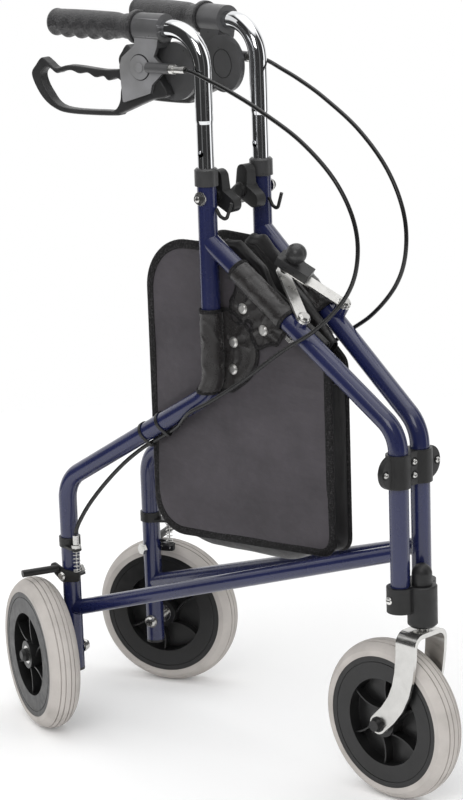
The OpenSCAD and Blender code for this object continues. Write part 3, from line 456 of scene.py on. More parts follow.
def grid(rows, columns, first=0, wrap_rows=False, wrap_columns=False):
    """Faces between the rows and columns of points, numbered from the first."""
    faces = []
    for i in range(rows if wrap_rows else rows - 1):
        for j in range(columns if wrap_columns else columns - 1):
            a, b = i * columns, (i + 1) % rows * columns
            k = (j + 1) % columns
            faces.append((first + a + j, first + a + k, first + b + k, first + b + j))
    return faces


def capped(rings, sides):
    """Faces of a row of rings with both ends closed."""
    last = (rings - 1) * sides
    ends = [tuple(range(sides)), tuple(last + k for k in reversed(range(sides)))]
    return grid(rings, sides, 0, False, True) + ends


def slab(front, back, wrap=False):
    """Points and faces of a closed sheet between two grids; wrapped, its rows are rings round a middle."""
    front, back = np.asarray(front, float), np.asarray(back, float)
    rows, columns = front.shape[:2]
    half = rows * columns
    faces = grid(rows, columns, 0, False, wrap)
    faces += [tuple(reversed(f)) for f in grid(rows, columns, half, False, wrap)]
    if wrap:
        last = (rows - 1) * columns
        faces.append(tuple(last + c for c in range(columns)))
        faces.append(tuple(half + last + c for c in reversed(range(columns))))
        rims = [[(0, c) for c in range(columns)] + [(0, 0)]]
    else:
        rims = [[(r, c) for c in range(columns)] for r in (0, rows - 1)]
        rims += [[(r, c) for r in range(rows)] for c in (0, columns - 1)]
    for rim in rims:
        for (r, c), (q, d) in zip(rim, rim[1:]):
            a, b = r * columns + c, q * columns + d
            faces.append((a, b, half + b, half + a))
    return np.concatenate([front.reshape(-1, 3), back.reshape(-1, 3)]), faces


def thicken(middle, thick):
    """The two faces of a sheet, half its thickness to each side of a grid of points."""
    middle = np.asarray(middle, float)
    across = np.gradient(middle, axis=0)
    along = np.gradient(middle, axis=1)
    normal = np.cross(across, along)
    normal /= np.maximum(np.linalg.norm(normal, axis=2, keepdims=True), 1e-9)
    return middle + normal * thick / 2, middle - normal * thick / 2


def tube(path, radii, sides=12, closed=False, seed_up=(0, 1, 0)):
    """Points and faces of a tube along a path; radii gives each ring's two half widths."""
    path = np.asarray(path, float)
    count = len(path)
    if closed:
        way = np.roll(path, -1, 0) - np.roll(path, 1, 0)
    else:
        way = np.gradient(path, axis=0)
    way /= np.linalg.norm(way, axis=1, keepdims=True)
    points = []
    for i in range(count):
        u = np.array(seed_up, float)
        u = u - u.dot(way[i]) * way[i]
        u /= np.linalg.norm(u)
        v = np.cross(way[i], u)
        a, b = radii[i] if hasattr(radii[0], "__len__") else (radii[i], radii[i])
        for k in range(sides):
            turn = 2 * math.pi * k / sides
            points.append(path[i] + a * math.cos(turn) * u + b * math.sin(turn) * v)
    return points, grid(count, sides, 0, True, True) if closed else capped(count, sides)


def resample(points, count, closed=False):
    """Evenly spaced points along a path."""
    points = np.asarray(points, float)
    if closed:
        points = np.vstack([points, points[:1]])
    run = np.concatenate([[0], np.cumsum(np.linalg.norm(np.diff(points, axis=0), axis=1))])
    where = np.linspace(0, run[-1], count, endpoint=not closed)
    return np.stack([np.interp(where, run, points[:, k]) for k in range(points.shape[1])], 1)


def smooth_route(points, steps):
    """A smooth curve through points."""
    p = np.asarray(points, float)
    made = []
    for i in range(len(p) - 1):
        a, b, c, d = p[max(i - 1, 0)], p[i], p[i + 1], p[min(i + 2, len(p) - 1)]
        for k in range(steps):
            t = k / steps
            made.append(0.5 * (2 * b + (c - a) * t + (2 * a - 5 * b + 4 * c - d) * t * t
                               + (3 * b - a - 3 * c + d) * t ** 3))
    return np.array(made + [p[-1]])


def arc(centre, r, start, end, count):
    """Points of an arc, its ends given in degrees."""
    turns = np.radians(np.linspace(start, end, count))
    return [(centre[0] + r * math.cos(t), centre[1] + r * math.sin(t)) for t in turns]


def tubes(lines, r, sides, closed=False, seed_up=(0, 1, 0)):
    """Points and faces of tubes of one radius along several paths."""
    points, faces = [], []
    for line in lines:
        made, joined = tube(line, [r] * len(line), sides, closed, seed_up)
        faces += [tuple(len(points) + k for k in f) for f in joined]
        points += made
    return points, faces


def circle(centre, o, r, count):
    """Points of an upright circle in a side frame, o outward."""
    return [(s, o, z) for s, z in arc(centre, r, 0, 360 - 360 / count, count)]


# Bag
PANEL_O = -13.4
PANEL_T = 2.6
PANEL_CENTRE = np.array([233.0, 425.0])
OUTLINE_COUNT = 240
BAG_FRONT = 101
BAG_REAR = 365
BAG_LOW = 264
BAG_TOP = 618
FRONT_TOP_R = 14
FRONT_LOW_R = 18
FRONT_LIFT = 8
REAR_LOW_R = 42
REAR_TOP_R = 60
MOUTH_R = 12
MOUTH_TURN = 128
BOTTOM_TURN = 268
# Swellings of the panel: height, then middle and spread rearward, middle and spread upward
PANEL_SWELLS = ((4.5, 200, 85, 350, 75), (2.5, 322, 30, 500, 90))
POST_PULL = (255, 45, 450, 60)
GUSSET_FIXED = 11.0
GUSSET_IN = 1.4
GUSSET_T = 1.2
MOUTH_T = 1.2
MOUTH_O = -16.4
STRAP_T = 0.9
STRAP_R = 12.6
FLAP_O = -12.25
SNAP_SPOTS = ((237, 507), (239, 475), (222, 548), (193, 526))
SNAP_O = -11.5
SNAP_RING_R = 5.9
RING_WIRE_R = 0.5


def bag_outline():
    """The panel's edge, from its upper front corner down, along the bottom and up the rear."""
    front_top = FRONT_TURN_Z + BAG_FRONT * math.tan(SLOPE) - 6
    path = arc((BAG_FRONT + FRONT_TOP_R, front_top - FRONT_TOP_R), FRONT_TOP_R, MOUTH_TURN, 180, 6)
    front_low = BAG_LOW + FRONT_LIFT + FRONT_LOW_R
    path += arc((BAG_FRONT + FRONT_LOW_R, front_low), FRONT_LOW_R, 180, BOTTOM_TURN, 10)
    path += arc((BAG_REAR - REAR_LOW_R, BAG_LOW + REAR_LOW_R), REAR_LOW_R, BOTTOM_TURN, 360, 20)
    path += arc((BAG_REAR - REAR_TOP_R, BAG_TOP - REAR_TOP_R), REAR_TOP_R, 0, 90, 24)
    path += arc((POST_S, BAG_TOP - MOUTH_R), MOUTH_R, 90, MOUTH_TURN, 6)
    return resample(path, OUTLINE_COUNT, True)


def tube_room(s, z):
    """How near the panel's point lies to a tube of the frame that passes over it, in millimetres."""
    best = 1e9
    for (s0, z0), (s1, z1) in TUBE_LINES:
        ds, dz = s1 - s0, z1 - z0
        t = min(max(((s - s0) * ds + (z - z0) * dz) / (ds * ds + dz * dz), 0), 1)
        best = min(best, math.hypot(s - s0 - t * ds, z - z0 - t * dz))
    return best


def bulge(s, z, middle_s, spread_s, middle_z, spread_z):
    """A round hill of height 1."""
    return math.exp(-((s - middle_s) / spread_s) ** 2 - ((z - middle_z) / spread_z) ** 2)


def panel_lift(s, z, seed):
    """How far the cloth stands out from its flat cut."""
    swell = sum(high * bulge(s, z, *place) for high, *place in PANEL_SWELLS)
    slow = 2.4 * ripple(s / 105, z / 80, 0.3, seed) + 1.1 * ripple(s / 42, z / 48, 1.7, seed)
    crease = 0.75 * ripple(s / 70, z / 13, 4.1, seed) * math.exp(-((s - 140) / 55) ** 2)
    crease += 0.6 * ripple(s / 26, z / 60, 6.6, seed) * math.exp(-((z - 300) / 45) ** 2)
    pleats = 1.2 * ripple(s / 13, z / 60, 7.7, seed) * bulge(s, z, *POST_PULL)
    lift = swell + slow + crease + pleats
    near = ease(tube_room(s, z), 13, 30)
    return max(min(lift, 0.7 + near * 6), -4)


def bag_panel(side):
    """Padded panel of the bag; returns its edge."""
    seed = 3.1 if side == "right" else 8.4
    edge = bag_outline()
    front, back = [], []
    for f in np.concatenate([np.linspace(1, 0.1, 34), [0.04, 0.008]]):
        ring = PANEL_CENTRE + f * (edge - PANEL_CENTRE)
        rim = ease(f, 1.0, 0.9)
        lifts = [panel_lift(s, z, seed) * rim for s, z in ring]
        front.append([(s, PANEL_O + k, z) for (s, z), k in zip(ring, lifts)])
        back.append([(s, PANEL_O + k - PANEL_T, z) for (s, z), k in zip(ring, lifts)])
    points, faces = slab(front, back, True)
    panel = add_piece(f"{side}_bag_panel", side, points, faces, "bag_cloth")
    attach(panel, f"{side}_frame")
    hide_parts(f"{side}_bag_half")
    return edge


def inward_of(edge):
    """Directions along a closed edge and into the panel."""
    way = np.roll(edge, -1, 0) - np.roll(edge, 1, 0)
    way /= np.linalg.norm(way, axis=1, keepdims=True)
    side = np.stack([-way[:, 1], way[:, 0]], 1)
    if ((PANEL_CENTRE - edge) * side).sum() < 0:
        side = -side
    return way, side


def bag_binding(side, edge):
    """Woven tape folded over the panel's edge, with its row of stitches on each face."""
    edge = resample(edge, 420, True)
    way, inward = inward_of(edge)
    half = PANEL_T / 2 + 1.0
    profile = [(9.0, half - 0.7), (8.4, half), (5.0, half + 0.25), (1.0, half), (-1.0, half * 0.6),
               (-1.5, 0)]
    profile += [(n, -o) for n, o in reversed(profile[:-1])]
    middle = PANEL_O - PANEL_T / 2
    points = []
    for i, ((s, z), (a, b)) in enumerate(zip(edge, inward)):
        pucker = 0.16 * math.sin(i * 2 * math.pi / 2.6) + 0.4 * ripple(s / 25, z / 25, 2.2)
        for n, o in profile:
            grow = 1 + 0.12 * pucker
            points.append((s + a * (n + 0.3 * pucker), middle + o * grow, z + b * (n + 0.3 * pucker)))
    faces = grid(len(edge), len(profile), 0, True, True)
    binding = add_piece(f"{side}_bag_binding", side, points, faces, "binding")
    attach(binding, f"{side}_frame")
    stitch_points, stitch_faces = [], []
    places = resample(np.hstack([edge + inward * 7.2, way]), 260, True)
    for s, z, ws, wz in places:
        for face in (1, -1):
            add_stitch(stitch_points, stitch_faces, (s, middle + face * (half + 0.12), z), (ws, 0, wz))
    stitches = add_piece(f"{side}_bag_stitches", side, stitch_points, stitch_faces, "thread")
    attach(stitches, f"{side}_frame")


def add_stitch(points, faces, at, way, length=2.6, width=0.42):
    """Add one stitch, a slim spindle, to lists of points and faces."""
    first = len(points)
    at, way = np.array(at), np.array(way, float)
    way /= np.linalg.norm(way)
    out = np.array((0.0, 1.0, 0.0))
    across = np.cross(way, out)
    across /= np.linalg.norm(across)
    out = np.cross(across, way)
    points.append(at - way * length / 2)
    for k in range(6):
        turn = math.pi * k / 3
        points.append(at + width * (math.cos(turn) * across + 0.6 * math.sin(turn) * out))
    points.append(at + way * length / 2)
    for k in range(6):
        n = (k + 1) % 6
        faces.append((first, first + 1 + n, first + 1 + k))
        faces.append((first + 7, first + 1 + k, first + 1 + n))


def bag_gusset(side, edge):
    """This side's half of the folded strip that joins the two panels at the front, below and behind."""
    seed = 5.5 if side == "right" else 1.9
    edge = resample(edge, 300, True)
    _, inward = inward_of(edge)
    panel_back = PANEL_O - PANEL_T
    start = panel_back + 0.4
    front, back = [], []
    for (s, z), (a, b) in zip(edge, inward):
        if z >= 470 + max(s - 110, 0) * 0.4:
            continue
        mid = -(HALF_GAP + s * math.sin(SPLAY)) / math.cos(SPLAY) + 0.2
        reach = start - mid
        depths = np.concatenate([np.linspace(0, GUSSET_FIXED, 9), np.linspace(GUSSET_FIXED, reach, 12)[1:]])
        bottom = ease(b, 0.35, 0.95)
        fold = 0.75 * reach * (1 - bottom) - 20 * bottom * ease(s, 110, 190) * (1 - ease(s, 300, 350))
        column, inner = [], []
        for depth in depths:
            t = depth / reach
            fall = fold * math.sin(t * math.pi / 2) ** 1.3 - 2.4 * math.sin(t * math.pi) * (1 - t)
            fall += 1.2 * ripple(s / 30, z / 30, depth / 9, seed) * math.sin(t * math.pi)
            for line, n in ((column, GUSSET_IN + fall), (inner, GUSSET_IN + GUSSET_T + fall)):
                line.append((s + a * n, start - depth, z + b * n))
        front.append(column)
        back.append(inner)
    points, faces = slab(front, back)
    gusset = add_piece(f"{side}_bag_gusset", side, points, faces, "gusset")
    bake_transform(gusset)


def bag_mouth(side):
    """Gathered cloth along the mouth, hanging inside the diagonal."""
    seed = 2.7 if side == "right" else 6.3
    rows = []
    for d in np.linspace(-72, 104, 60):
        tall = 2 + 13 * ease(d, 18, 48) * (1 - ease(d, 86, 104))
        profile = [(-46, -17.0), (-24, -17.6), (-8, -17.4), (tall * 0.6, -17.5), (tall, -20.5),
                   (tall * 0.8, -25), (-6, -27.5), (-22, -29), (-38, -27), (-52, -25)]
        line = resample(smooth_route(profile, 6), 96)
        row = []
        for k, (n, o) in enumerate(line):
            t = k / (len(line) - 1)
            slack = math.sin(t * math.pi)
            gather = 2.6 * ripple(d / 60 + t * 0.6, t * 13, 0.4, seed)
            gather += 1.7 * ripple(d / 45, t * 30, 2.9, seed)
            row.append(on_diagonal(d + 1.5 * slack * ripple(d / 12, t * 4, 9.1, seed), n + gather * slack,
                                   min(o + 0.8 * gather * slack, MOUTH_O)))
        rows.append(row)
    points, faces = slab(*thicken(rows, MOUTH_T))
    mouth = add_piece(f"{side}_bag_mouth", side, points, faces, "gusset")
    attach(mouth, f"{side}_frame")


def post_axis(z):
    """Where the post's axis lies at height z, with its bend towards the rear."""
    start, bend = 472.8, 42.0
    if z > start:
        return POST_S
    return POST_S + bend - math.sqrt(bend * bend - (start - z) ** 2)


def post_strap(side):
    """Strap from the panel round the post, snapped down on its front side."""
    seed = 4.4 if side == "right" else 9.9
    low, high = 449, 544
    rows = []
    for z in np.linspace(low, high, 64):
        drop = (high - z) / (high - low)
        axis = post_axis(z)
        reach = 10 + 46 * math.sin(math.pi * min(0.04 + 0.93 * drop, 1)) ** 0.75
        line = [(axis + 24, -12.6), (axis + 17, -12.5)]
        for turn in np.linspace(-52, 232, 48):
            r = STRAP_R + 0.7 * crumple(turn / 110, z / 22, 1.1, seed) + 0.4 * ease(abs(z - 497), 36, 46)
            line.append((axis + r * math.cos(math.radians(turn)), r * math.sin(math.radians(turn))))
        line += [(axis - 15.5, FLAP_O + 0.25), (axis - 19, FLAP_O)]
        line.append((min(axis - 20, POST_S - reach), FLAP_O))
        row = []
        for s, o in resample(line, 90):
            pucker = 0.0
            if s < axis - 13 and o < -9:
                pucker = flap_relief(s, z, SNAP_SPOTS[:2], seed)
            row.append((s, o + pucker, z + 0.8 * ripple(s / 20, o / 20, z / 30, seed)))
        rows.append(row)
    points, faces = slab(*thicken(rows, STRAP_T))
    strap = add_piece(f"{side}_post_strap", side, points, faces, "strap_cloth")
    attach(strap, f"{side}_frame")
    hem = [row[-1] for row in rows]
    hem_band(f"{side}_post_strap_hem", side, resample(rows[0][8:] + hem + rows[-1][:7:-1], 170))


def hem_band(name, side, path, wide=2.6, thick=1.15):
    """Soft bound edge along a path."""
    radii = [(thick * (1 + 0.15 * ripple(i / 3, 0, 0.7)), wide * (1 + 0.12 * ripple(i / 4, 1.3, 0)))
             for i in range(len(path))]
    points, faces = tube(path, radii, 10)
    band = add_piece(name, side, points, faces, "binding")
    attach(band, f"{side}_frame")


def flap_depth(d):
    """How far below the diagonal's axis the strap's lower edge lies, with its two tongues."""
    if d > 47:
        return -20 - 40 * (1 - ease(d, 47, 61))
    tongues = max(14 * math.exp(-((d - 38) / 11) ** 4), 17 * math.exp(-(d / 12) ** 4))
    return -47 - tongues + 4 * ease(-d, 14, 23)


def diagonal_strap(side):
    """Strap over the diagonal, with two tongues snapped to the panel below it."""
    seed = 7.2 if side == "right" else 0.8
    snaps = [from_diagonal(s, z) for s, z in SNAP_SPOTS[2:]]
    rows = []
    for d in np.linspace(-23, 61, 64):
        line = [(-16, -17.2), (-6, -16.8), (3, -15.6)]
        for turn in np.linspace(-70, 148, 44):
            r = STRAP_R + 0.7 * crumple(turn / 110, d / 22, 1.4, seed)
            line.append((r * math.cos(math.radians(turn)), r * math.sin(math.radians(turn))))
        line += [(-13.6, -3), (-15, -9.5), (-17, -11.6), (-19.5, FLAP_O)]
        line.append((flap_depth(d), FLAP_O))
        row = []
        for n, o in resample(line, 90):
            pucker = 0.0
            if n < -17 and o > -14:
                pucker = flap_relief(d, n, snaps, seed)
            row.append(on_diagonal(d, n, o + pucker))
        rows.append(row)
    points, faces = slab(*thicken(rows, STRAP_T))
    strap = add_piece(f"{side}_diagonal_strap", side, points, faces, "strap_cloth")
    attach(strap, f"{side}_frame")
    hem = [row[-1] for row in rows]
    hem_band(f"{side}_diagonal_strap_hem", side, resample(rows[0][8:] + hem + rows[-1][:7:-1], 190))


# Brake cables, from the lever's adjuster to the leg's adjuster
CABLE_POINTS = (
    (271, 15, 819), (258, 15.5, 816.5), (238, 16, 810), (206, 17, 799), (166, 18, 782),
    (110, 18, 752), (64, 18, 712), (39, 18, 667), (37, 18, 623), (54, 18, 584),
    (94, 18, 545), (145, 17, 513), (200, 16, 474), (250, 16, 442), (285, 14, 423),
    (312, 3, 401), (330, 0, 390), (350, 0, 378), (370, 0, 366), (400, 1, 343),
    (430, 3, 314), (454, 7, 285), (469, 11, 260), (475, 12, 245),
)
CABLE_R = 2.45
WIRE_STRANDS = 6
STRAND_R = 0.3
LAY_R = 0.55
LAY_TURNS = 5
BRAKE_Z = joints["right_brake"]["pos_m"][2] / MM
WIRE_LOW = BRAKE_Z - 1
SPRING_FOOT = BRAKE_Z + 7.6
SPRING_TOP = 223.9
SPRING_R = 3.9
SPRING_WIRE_R = 0.6
SPRING_CURLS = 5


def brake_cable(side):
    """Casing of the cable, and the inner wire that shows below it."""
    route = resample(smooth_route(CABLE_POINTS, 10), 240)
    points, faces = tube(route, [CABLE_R] * len(route), 12, False, (0.1, 1, 0.05))
    cable = add_piece(f"{side}_cable_casing", side, points, faces, "cable_casing")
    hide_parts(f"{side}_brake_cable")
    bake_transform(cable)
    s, o, top = CABLE_POINTS[-1]
    strands = []
    for strand in range(WIRE_STRANDS):
        line = []
        for t in np.linspace(0, 1, 60):
            turn = 2 * math.pi * (strand / WIRE_STRANDS + LAY_TURNS * t)
            z = WIRE_LOW + (top - 4 - WIRE_LOW) * t
            line.append((s + LAY_R * math.cos(turn), o + LAY_R * math.sin(turn), z))
        strands.append(line)
    points, faces = tubes(strands, STRAND_R, 6, False, (1, 0, 0))
    inner = add_piece(f"{side}_cable_wire", side, points, faces, "zinc")
    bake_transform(inner)


def return_spring(side):
    """Coil with closed ends between the bracket and the brake arm."""
    s, o, _ = CABLE_POINTS[-1]
    low, high = SPRING_FOOT + SPRING_WIRE_R, SPRING_TOP - SPRING_WIRE_R
    closed = 2.1 * SPRING_WIRE_R
    marks = (0, 1, 1 + SPRING_CURLS, 2 + SPRING_CURLS)
    path = []
    for curl in np.linspace(0, marks[-1], 30 * marks[-1]):
        z = np.interp(curl, marks, (low, low + closed, high - closed, high))
        turn = 2 * math.pi * curl
        path.append((s + SPRING_R * math.cos(turn), o + SPRING_R * math.sin(turn), z))
    points, faces = tube(path, [SPRING_WIRE_R] * len(path), 8, False, (0, 0, 1))
    spring = add_piece(f"{side}_return_spring", side, points, faces, "bright_zinc")
    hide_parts(f"{side}_brake_spring")
    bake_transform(spring)


# Small hardware
HINGE_SCREW_Z = (386.1, 401.3)
HINGE_MIDDLE_Z = 393.7
HINGE_END_Y = 42.8
# Painted shadow round each of the bracket's screws: a thin dark ring, as stations of height and radius
SHADOW_RING_PROFILE = ((0.0, 5.2), (0.14, 5.1), (0.14, 3.3))
CLIP_Z = 247
CLIP_OUT = 15.6
CLIP_HEAD = ((-1.0, 4.4), (0.9, 4.4), (1.5, 4.0), (1.8, 3.2))
AXLE_HEAD = 17.6
HEIGHT_BOLT_O = 17.7
HEIGHT_BOLT_Z = 674.5
HEX_PROFILE = ((-0.5, 3.9), (0.2, 3.9), (0.5, 3.5))


def snap_rings(side):
    """Pressed ring round each snap."""
    lines = [circle(at, SNAP_O, SNAP_RING_R, 32) for at in SNAP_SPOTS]
    points, faces = tubes(lines, RING_WIRE_R, 8, True)
    rings = add_piece(f"{side}_snap_rings", side, points, faces, "snap")
    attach(rings, f"{side}_frame")


def along(at, way):
    """A place in millimetres as a vector, with its direction and two directions across it."""
    way = Vector(way).normalized()
    side = Vector((0, 0, 1)).cross(way).normalized() if abs(way.z) < 0.9 else Vector((1, 0, 0))
    return Vector(at), way, side, way.cross(side)


def set_piece(name, body, points, faces, look):
    """A piece from points in millimetres of the scene, riding on a body."""
    mesh = bpy.data.meshes.new(name)
    mesh.from_pydata([Vector(p) * MM for p in points], [], faces)
    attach(finish_piece(name, mesh, look), body)


def recess_shade(name, body, at, way, reach, arms=2):
    """Dark slot, or cross of two slots, in a screw's head: painted shade of its recess."""
    at, way, side, up = along(at, way)
    points, faces = [], []
    for a_way, b_way in ((side, up), (up, side))[:arms]:
        first = len(points)
        for depth in (-0.4, 0.12):
            for a, b in ((-1, -1), (1, -1), (1, 1), (-1, 1)):
                points.append(at + a_way * a * reach + b_way * b * reach * 0.22 + way * depth)
        ends = [(0, 1, 2, 3), (4, 5, 6, 7)]
        walls = [(k, (k + 1) % 4, (k + 1) % 4 + 4, k + 4) for k in range(4)]
        faces += [tuple(first + k for k in f) for f in ends + walls]
    set_piece(name, body, points, faces, "recess_shade")


def turned(name, body, at, way, stations, look, sides=32):
    """Small round piece: stations give its height along the way and its radius there."""
    at, way, side, up = along(at, way)
    points = []
    for high, r in stations:
        for k in range(sides):
            t = 2 * math.pi * k / sides
            points.append(at + way * high + (side * math.cos(t) + up * math.sin(t)) * r)
    set_piece(name, body, points, capped(len(stations), sides), look)


def screw_details():
    """Painted shade in the screws' recesses, dark rings of painted shadow round the bracket's screws, and the
    screws of the two clips.
    """
    screws = [(f"hinge_middle_{k}", (SHIFT_X + 7.5, 0, z)) for k, z in enumerate(HINGE_SCREW_Z)]
    ends = (-HINGE_END_Y, HINGE_END_Y)
    screws += [(f"hinge_end_{k}", (SHIFT_X + 3.5, y, HINGE_MIDDLE_Z)) for k, y in enumerate(ends)]
    for name, at in screws:
        turned(f"{name}_shadow_ring", "front_hub", at, (1, 0, 0), SHADOW_RING_PROFILE, "recess_shade")
        recess_shade(f"{name}_recess", "front_hub", Vector(at) + Vector((2.2, 0, 0)), (1, 0, 0), 1.9)
    for side in SIDES:
        turn = -1 if side == "right" else 1
        at = (SHIFT_X - 3, turn * (HALF_GAP + CLIP_OUT), CLIP_Z)
        turned(f"{side}_clip_screw", "front_hub", at, (0, turn, 0), CLIP_HEAD, "bright_zinc")
        slot = Vector(at) + Vector((0, turn * CLIP_HEAD[-1][0], 0))
        recess_shade(f"{side}_clip_slot", "front_hub", slot, (0, turn, 0), 3.0, 1)
        inner = (LEG_S - AXLE_HEAD * math.sin(TOE), -AXLE_HEAD * math.cos(TOE), AXLE_Z)
        at = Vector(spot(side, inner)) / MM
        way = at - Vector(spot(side, (LEG_S, 0, AXLE_Z))) / MM
        recess_shade(f"{side}_axle_recess", f"{side}_frame", at, way, 3.2)
        at = Vector(spot(side, (POST_S, HEIGHT_BOLT_O, HEIGHT_BOLT_Z))) / MM
        way = at - Vector(spot(side, (POST_S, 0, HEIGHT_BOLT_Z))) / MM
        turned(f"{side}_height_bolt_hex", f"{side}_frame", at, way, HEX_PROFILE, "bright_zinc", 6)
        top = at + way.normalized() * HEX_PROFILE[-1][0]
        recess_shade(f"{side}_height_bolt_recess", f"{side}_frame", top, way, 1.6)


# Levers, as millimetres from their pivot
LEVER_PIVOT = (341, 818)
LEVER_PIN_R = 4.08
LEVER_HALF = 6.5
LEVER_EDGE = 1.6
CHEEK_RING_R = 14.5
COVER_SHIFT = (-34, -5)
COVER_RING_R = 16.5
LEVER_POINTS = (
    (-14, 10), (10, 11), (26, -2), (58, -7), (100, -5), (118, -5), (136, -9), (148, -2), (157, 2),
    (166, -6), (174, -19), (161, -42), (141, -56), (113, -61), (47, -59), (35, -55), (-8, -38),
    (-31, -33), (-33, -26), (-20, -8),
)
LEVER_OPENING = (
    (36, -30), (34, -20), (42, -15.5), (54, -19), (62, -14.5), (74, -16.5), (86, -12), (99, -13.5),
    (112, -10.5), (127, -13), (135, -15), (148, -9), (159, -18), (150, -37), (127, -54), (62, -54),
    (46, -52), (38, -42),
)


def housing_shade_rings(side):
    """Dark circles of painted shade along the moulded circles on the outer cheek and the inner cover of the
    brake housing.
    """
    cover = (LEVER_PIVOT[0] + COVER_SHIFT[0], LEVER_PIVOT[1] + COVER_SHIFT[1])
    lines = [circle(LEVER_PIVOT, CHEEK_O + 0.1, CHEEK_RING_R, 60), circle(cover, -BOSS_O, COVER_RING_R, 60)]
    points, faces = tubes(lines, RING_WIRE_R, 8, True)
    rings = add_piece(f"{side}_housing_shade_rings", side, points, faces, "recess_shade")
    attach(rings, f"{side}_handle")


def smooth_loop(points, steps):
    """A smooth closed curve through points."""
    points = list(points)
    return smooth_route(points[-1:] + points + points[:2], steps)[steps:steps * (len(points) + 1)]


def lever_loop(side):
    """Moulded loop lever with soft edges."""
    outline = bpy.data.curves.new("lever_outline", "CURVE")
    outline.dimensions = "2D"
    outline.fill_mode = "BOTH"
    outline.extrude = LEVER_HALF - LEVER_EDGE
    outline.bevel_depth = LEVER_EDGE
    outline.bevel_resolution = 3
    outline.offset = -LEVER_EDGE
    pin_hole = arc((0, 0), LEVER_PIN_R, 0, 345, 24)
    for route in (smooth_loop(LEVER_POINTS, 6), smooth_loop(LEVER_OPENING, 6), pin_hole):
        spline = outline.splines.new("POLY")
        spline.points.add(len(route) - 1)
        for point, (s, z) in zip(spline.points, route):
            point.co = (s, z, 0, 1)
        spline.use_cyclic_u = True
    shape = bpy.data.objects.new("lever_outline", outline)
    mesh = bpy.data.meshes.new_from_object(shape)
    bpy.data.objects.remove(shape)
    bpy.data.curves.remove(outline)
    flat = [abs(face.normal.z) > 0.99 for face in mesh.polygons]
    for vertex in mesh.vertices:
        s, z, o = vertex.co
        vertex.co = spot(side, (LEVER_PIVOT[0] + s, o, LEVER_PIVOT[1] + z))
    lever = finish_piece(f"{side}_lever_loop", mesh, "lever_plastic")
    for face, level in zip(lever.data.polygons, flat):
        face.use_smooth = not level
    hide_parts(f"{side}_brake_lever")
    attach(lever, f"{side}_lever")


# Grips: where the finger bumps start and end, how many there are and how high
BUMP_START = 388
BUMP_END = 470
BUMPS = 4
BUMP_H = 2.0
GRIP_SIDES = 48


def grip_sleeve(side):
    """Rubber grip with a flange, a waist and finger bumps below and on its outer side."""
    stations = [(350, 16), (350.4, 18.6), (351.2, 19.2), (355, 19.2), (356, 18.4), (357, 15.6), (360, 14.9),
                (367, 14.6), (371, 13.7), (376, 13.6), (380, 14.6), (384, 15.2)]
    bump_stations = np.linspace(BUMP_START, BUMP_END, 34)
    stations += [(s, 15.3 + 0.5 * math.sin((s - 384) / 90 * math.pi)) for s in bump_stations]
    stations += [(473, 15.4), (475, 15.9), (477, 15.7), (479, 14.6), (480, 12.5), (480.2, 6), (480.2, 0.4)]
    points = []
    for s, r in stations:
        wave = 0.0
        if BUMP_START <= s <= BUMP_END:
            wave = BUMP_H * math.sin((s - BUMP_START) / (BUMP_END - BUMP_START) * 2 * BUMPS * math.pi - 0.6)
        for k in range(GRIP_SIDES):
            turn = 2 * math.pi * k / GRIP_SIDES
            under = max(0.0, math.cos(turn + math.radians(55))) ** 1.2
            reach = r + wave * under
            points.append((s, reach * math.cos(turn), GRIP_Z + reach * math.sin(turn)))
    faces = capped(len(stations), GRIP_SIDES)
    grip = add_piece(f"{side}_grip_sleeve", side, points, faces, "grip_rubber")
    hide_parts(f"{side}_grip")
    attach(grip, f"{side}_handle")


# Stage
STRIP_LIGHTS = (
    # Bright upright panels and the backdrop, as metal mirrors them: compass direction, half width, level
    (42, 11, 1.3),
    (-172, 6, 0.7),
    (-84, 6, 0.18),
    (-20, 5, 0.15),
    (135, 50, 1.0),
)
TOP_LIGHT = (0.72, 0.88, 1.3)
DIM_LEVEL = 0.035
# Soft light on dull surfaces: towards the bright side, and its levels on the dark and the bright side
SOFT_WAY = Vector((0.55, -0.6, 0.6)).normalized()
SOFT_LEVELS = (0.05, 1.26)
FLOOR_REACH = 1.7
FLOOR_GLOW = 0.06
LAMP_AIM = Vector((0, 0, 0.4))
# Name, place, size and watts
LAMPS = (
    ("key", (1.6, -2.6, 2.6), 1.6, 24),
    ("fill", (-2.4, -1.2, 1.8), 1.8, 8),
    ("top", (0, 0.6, 3.2), 2.2, 12),
)


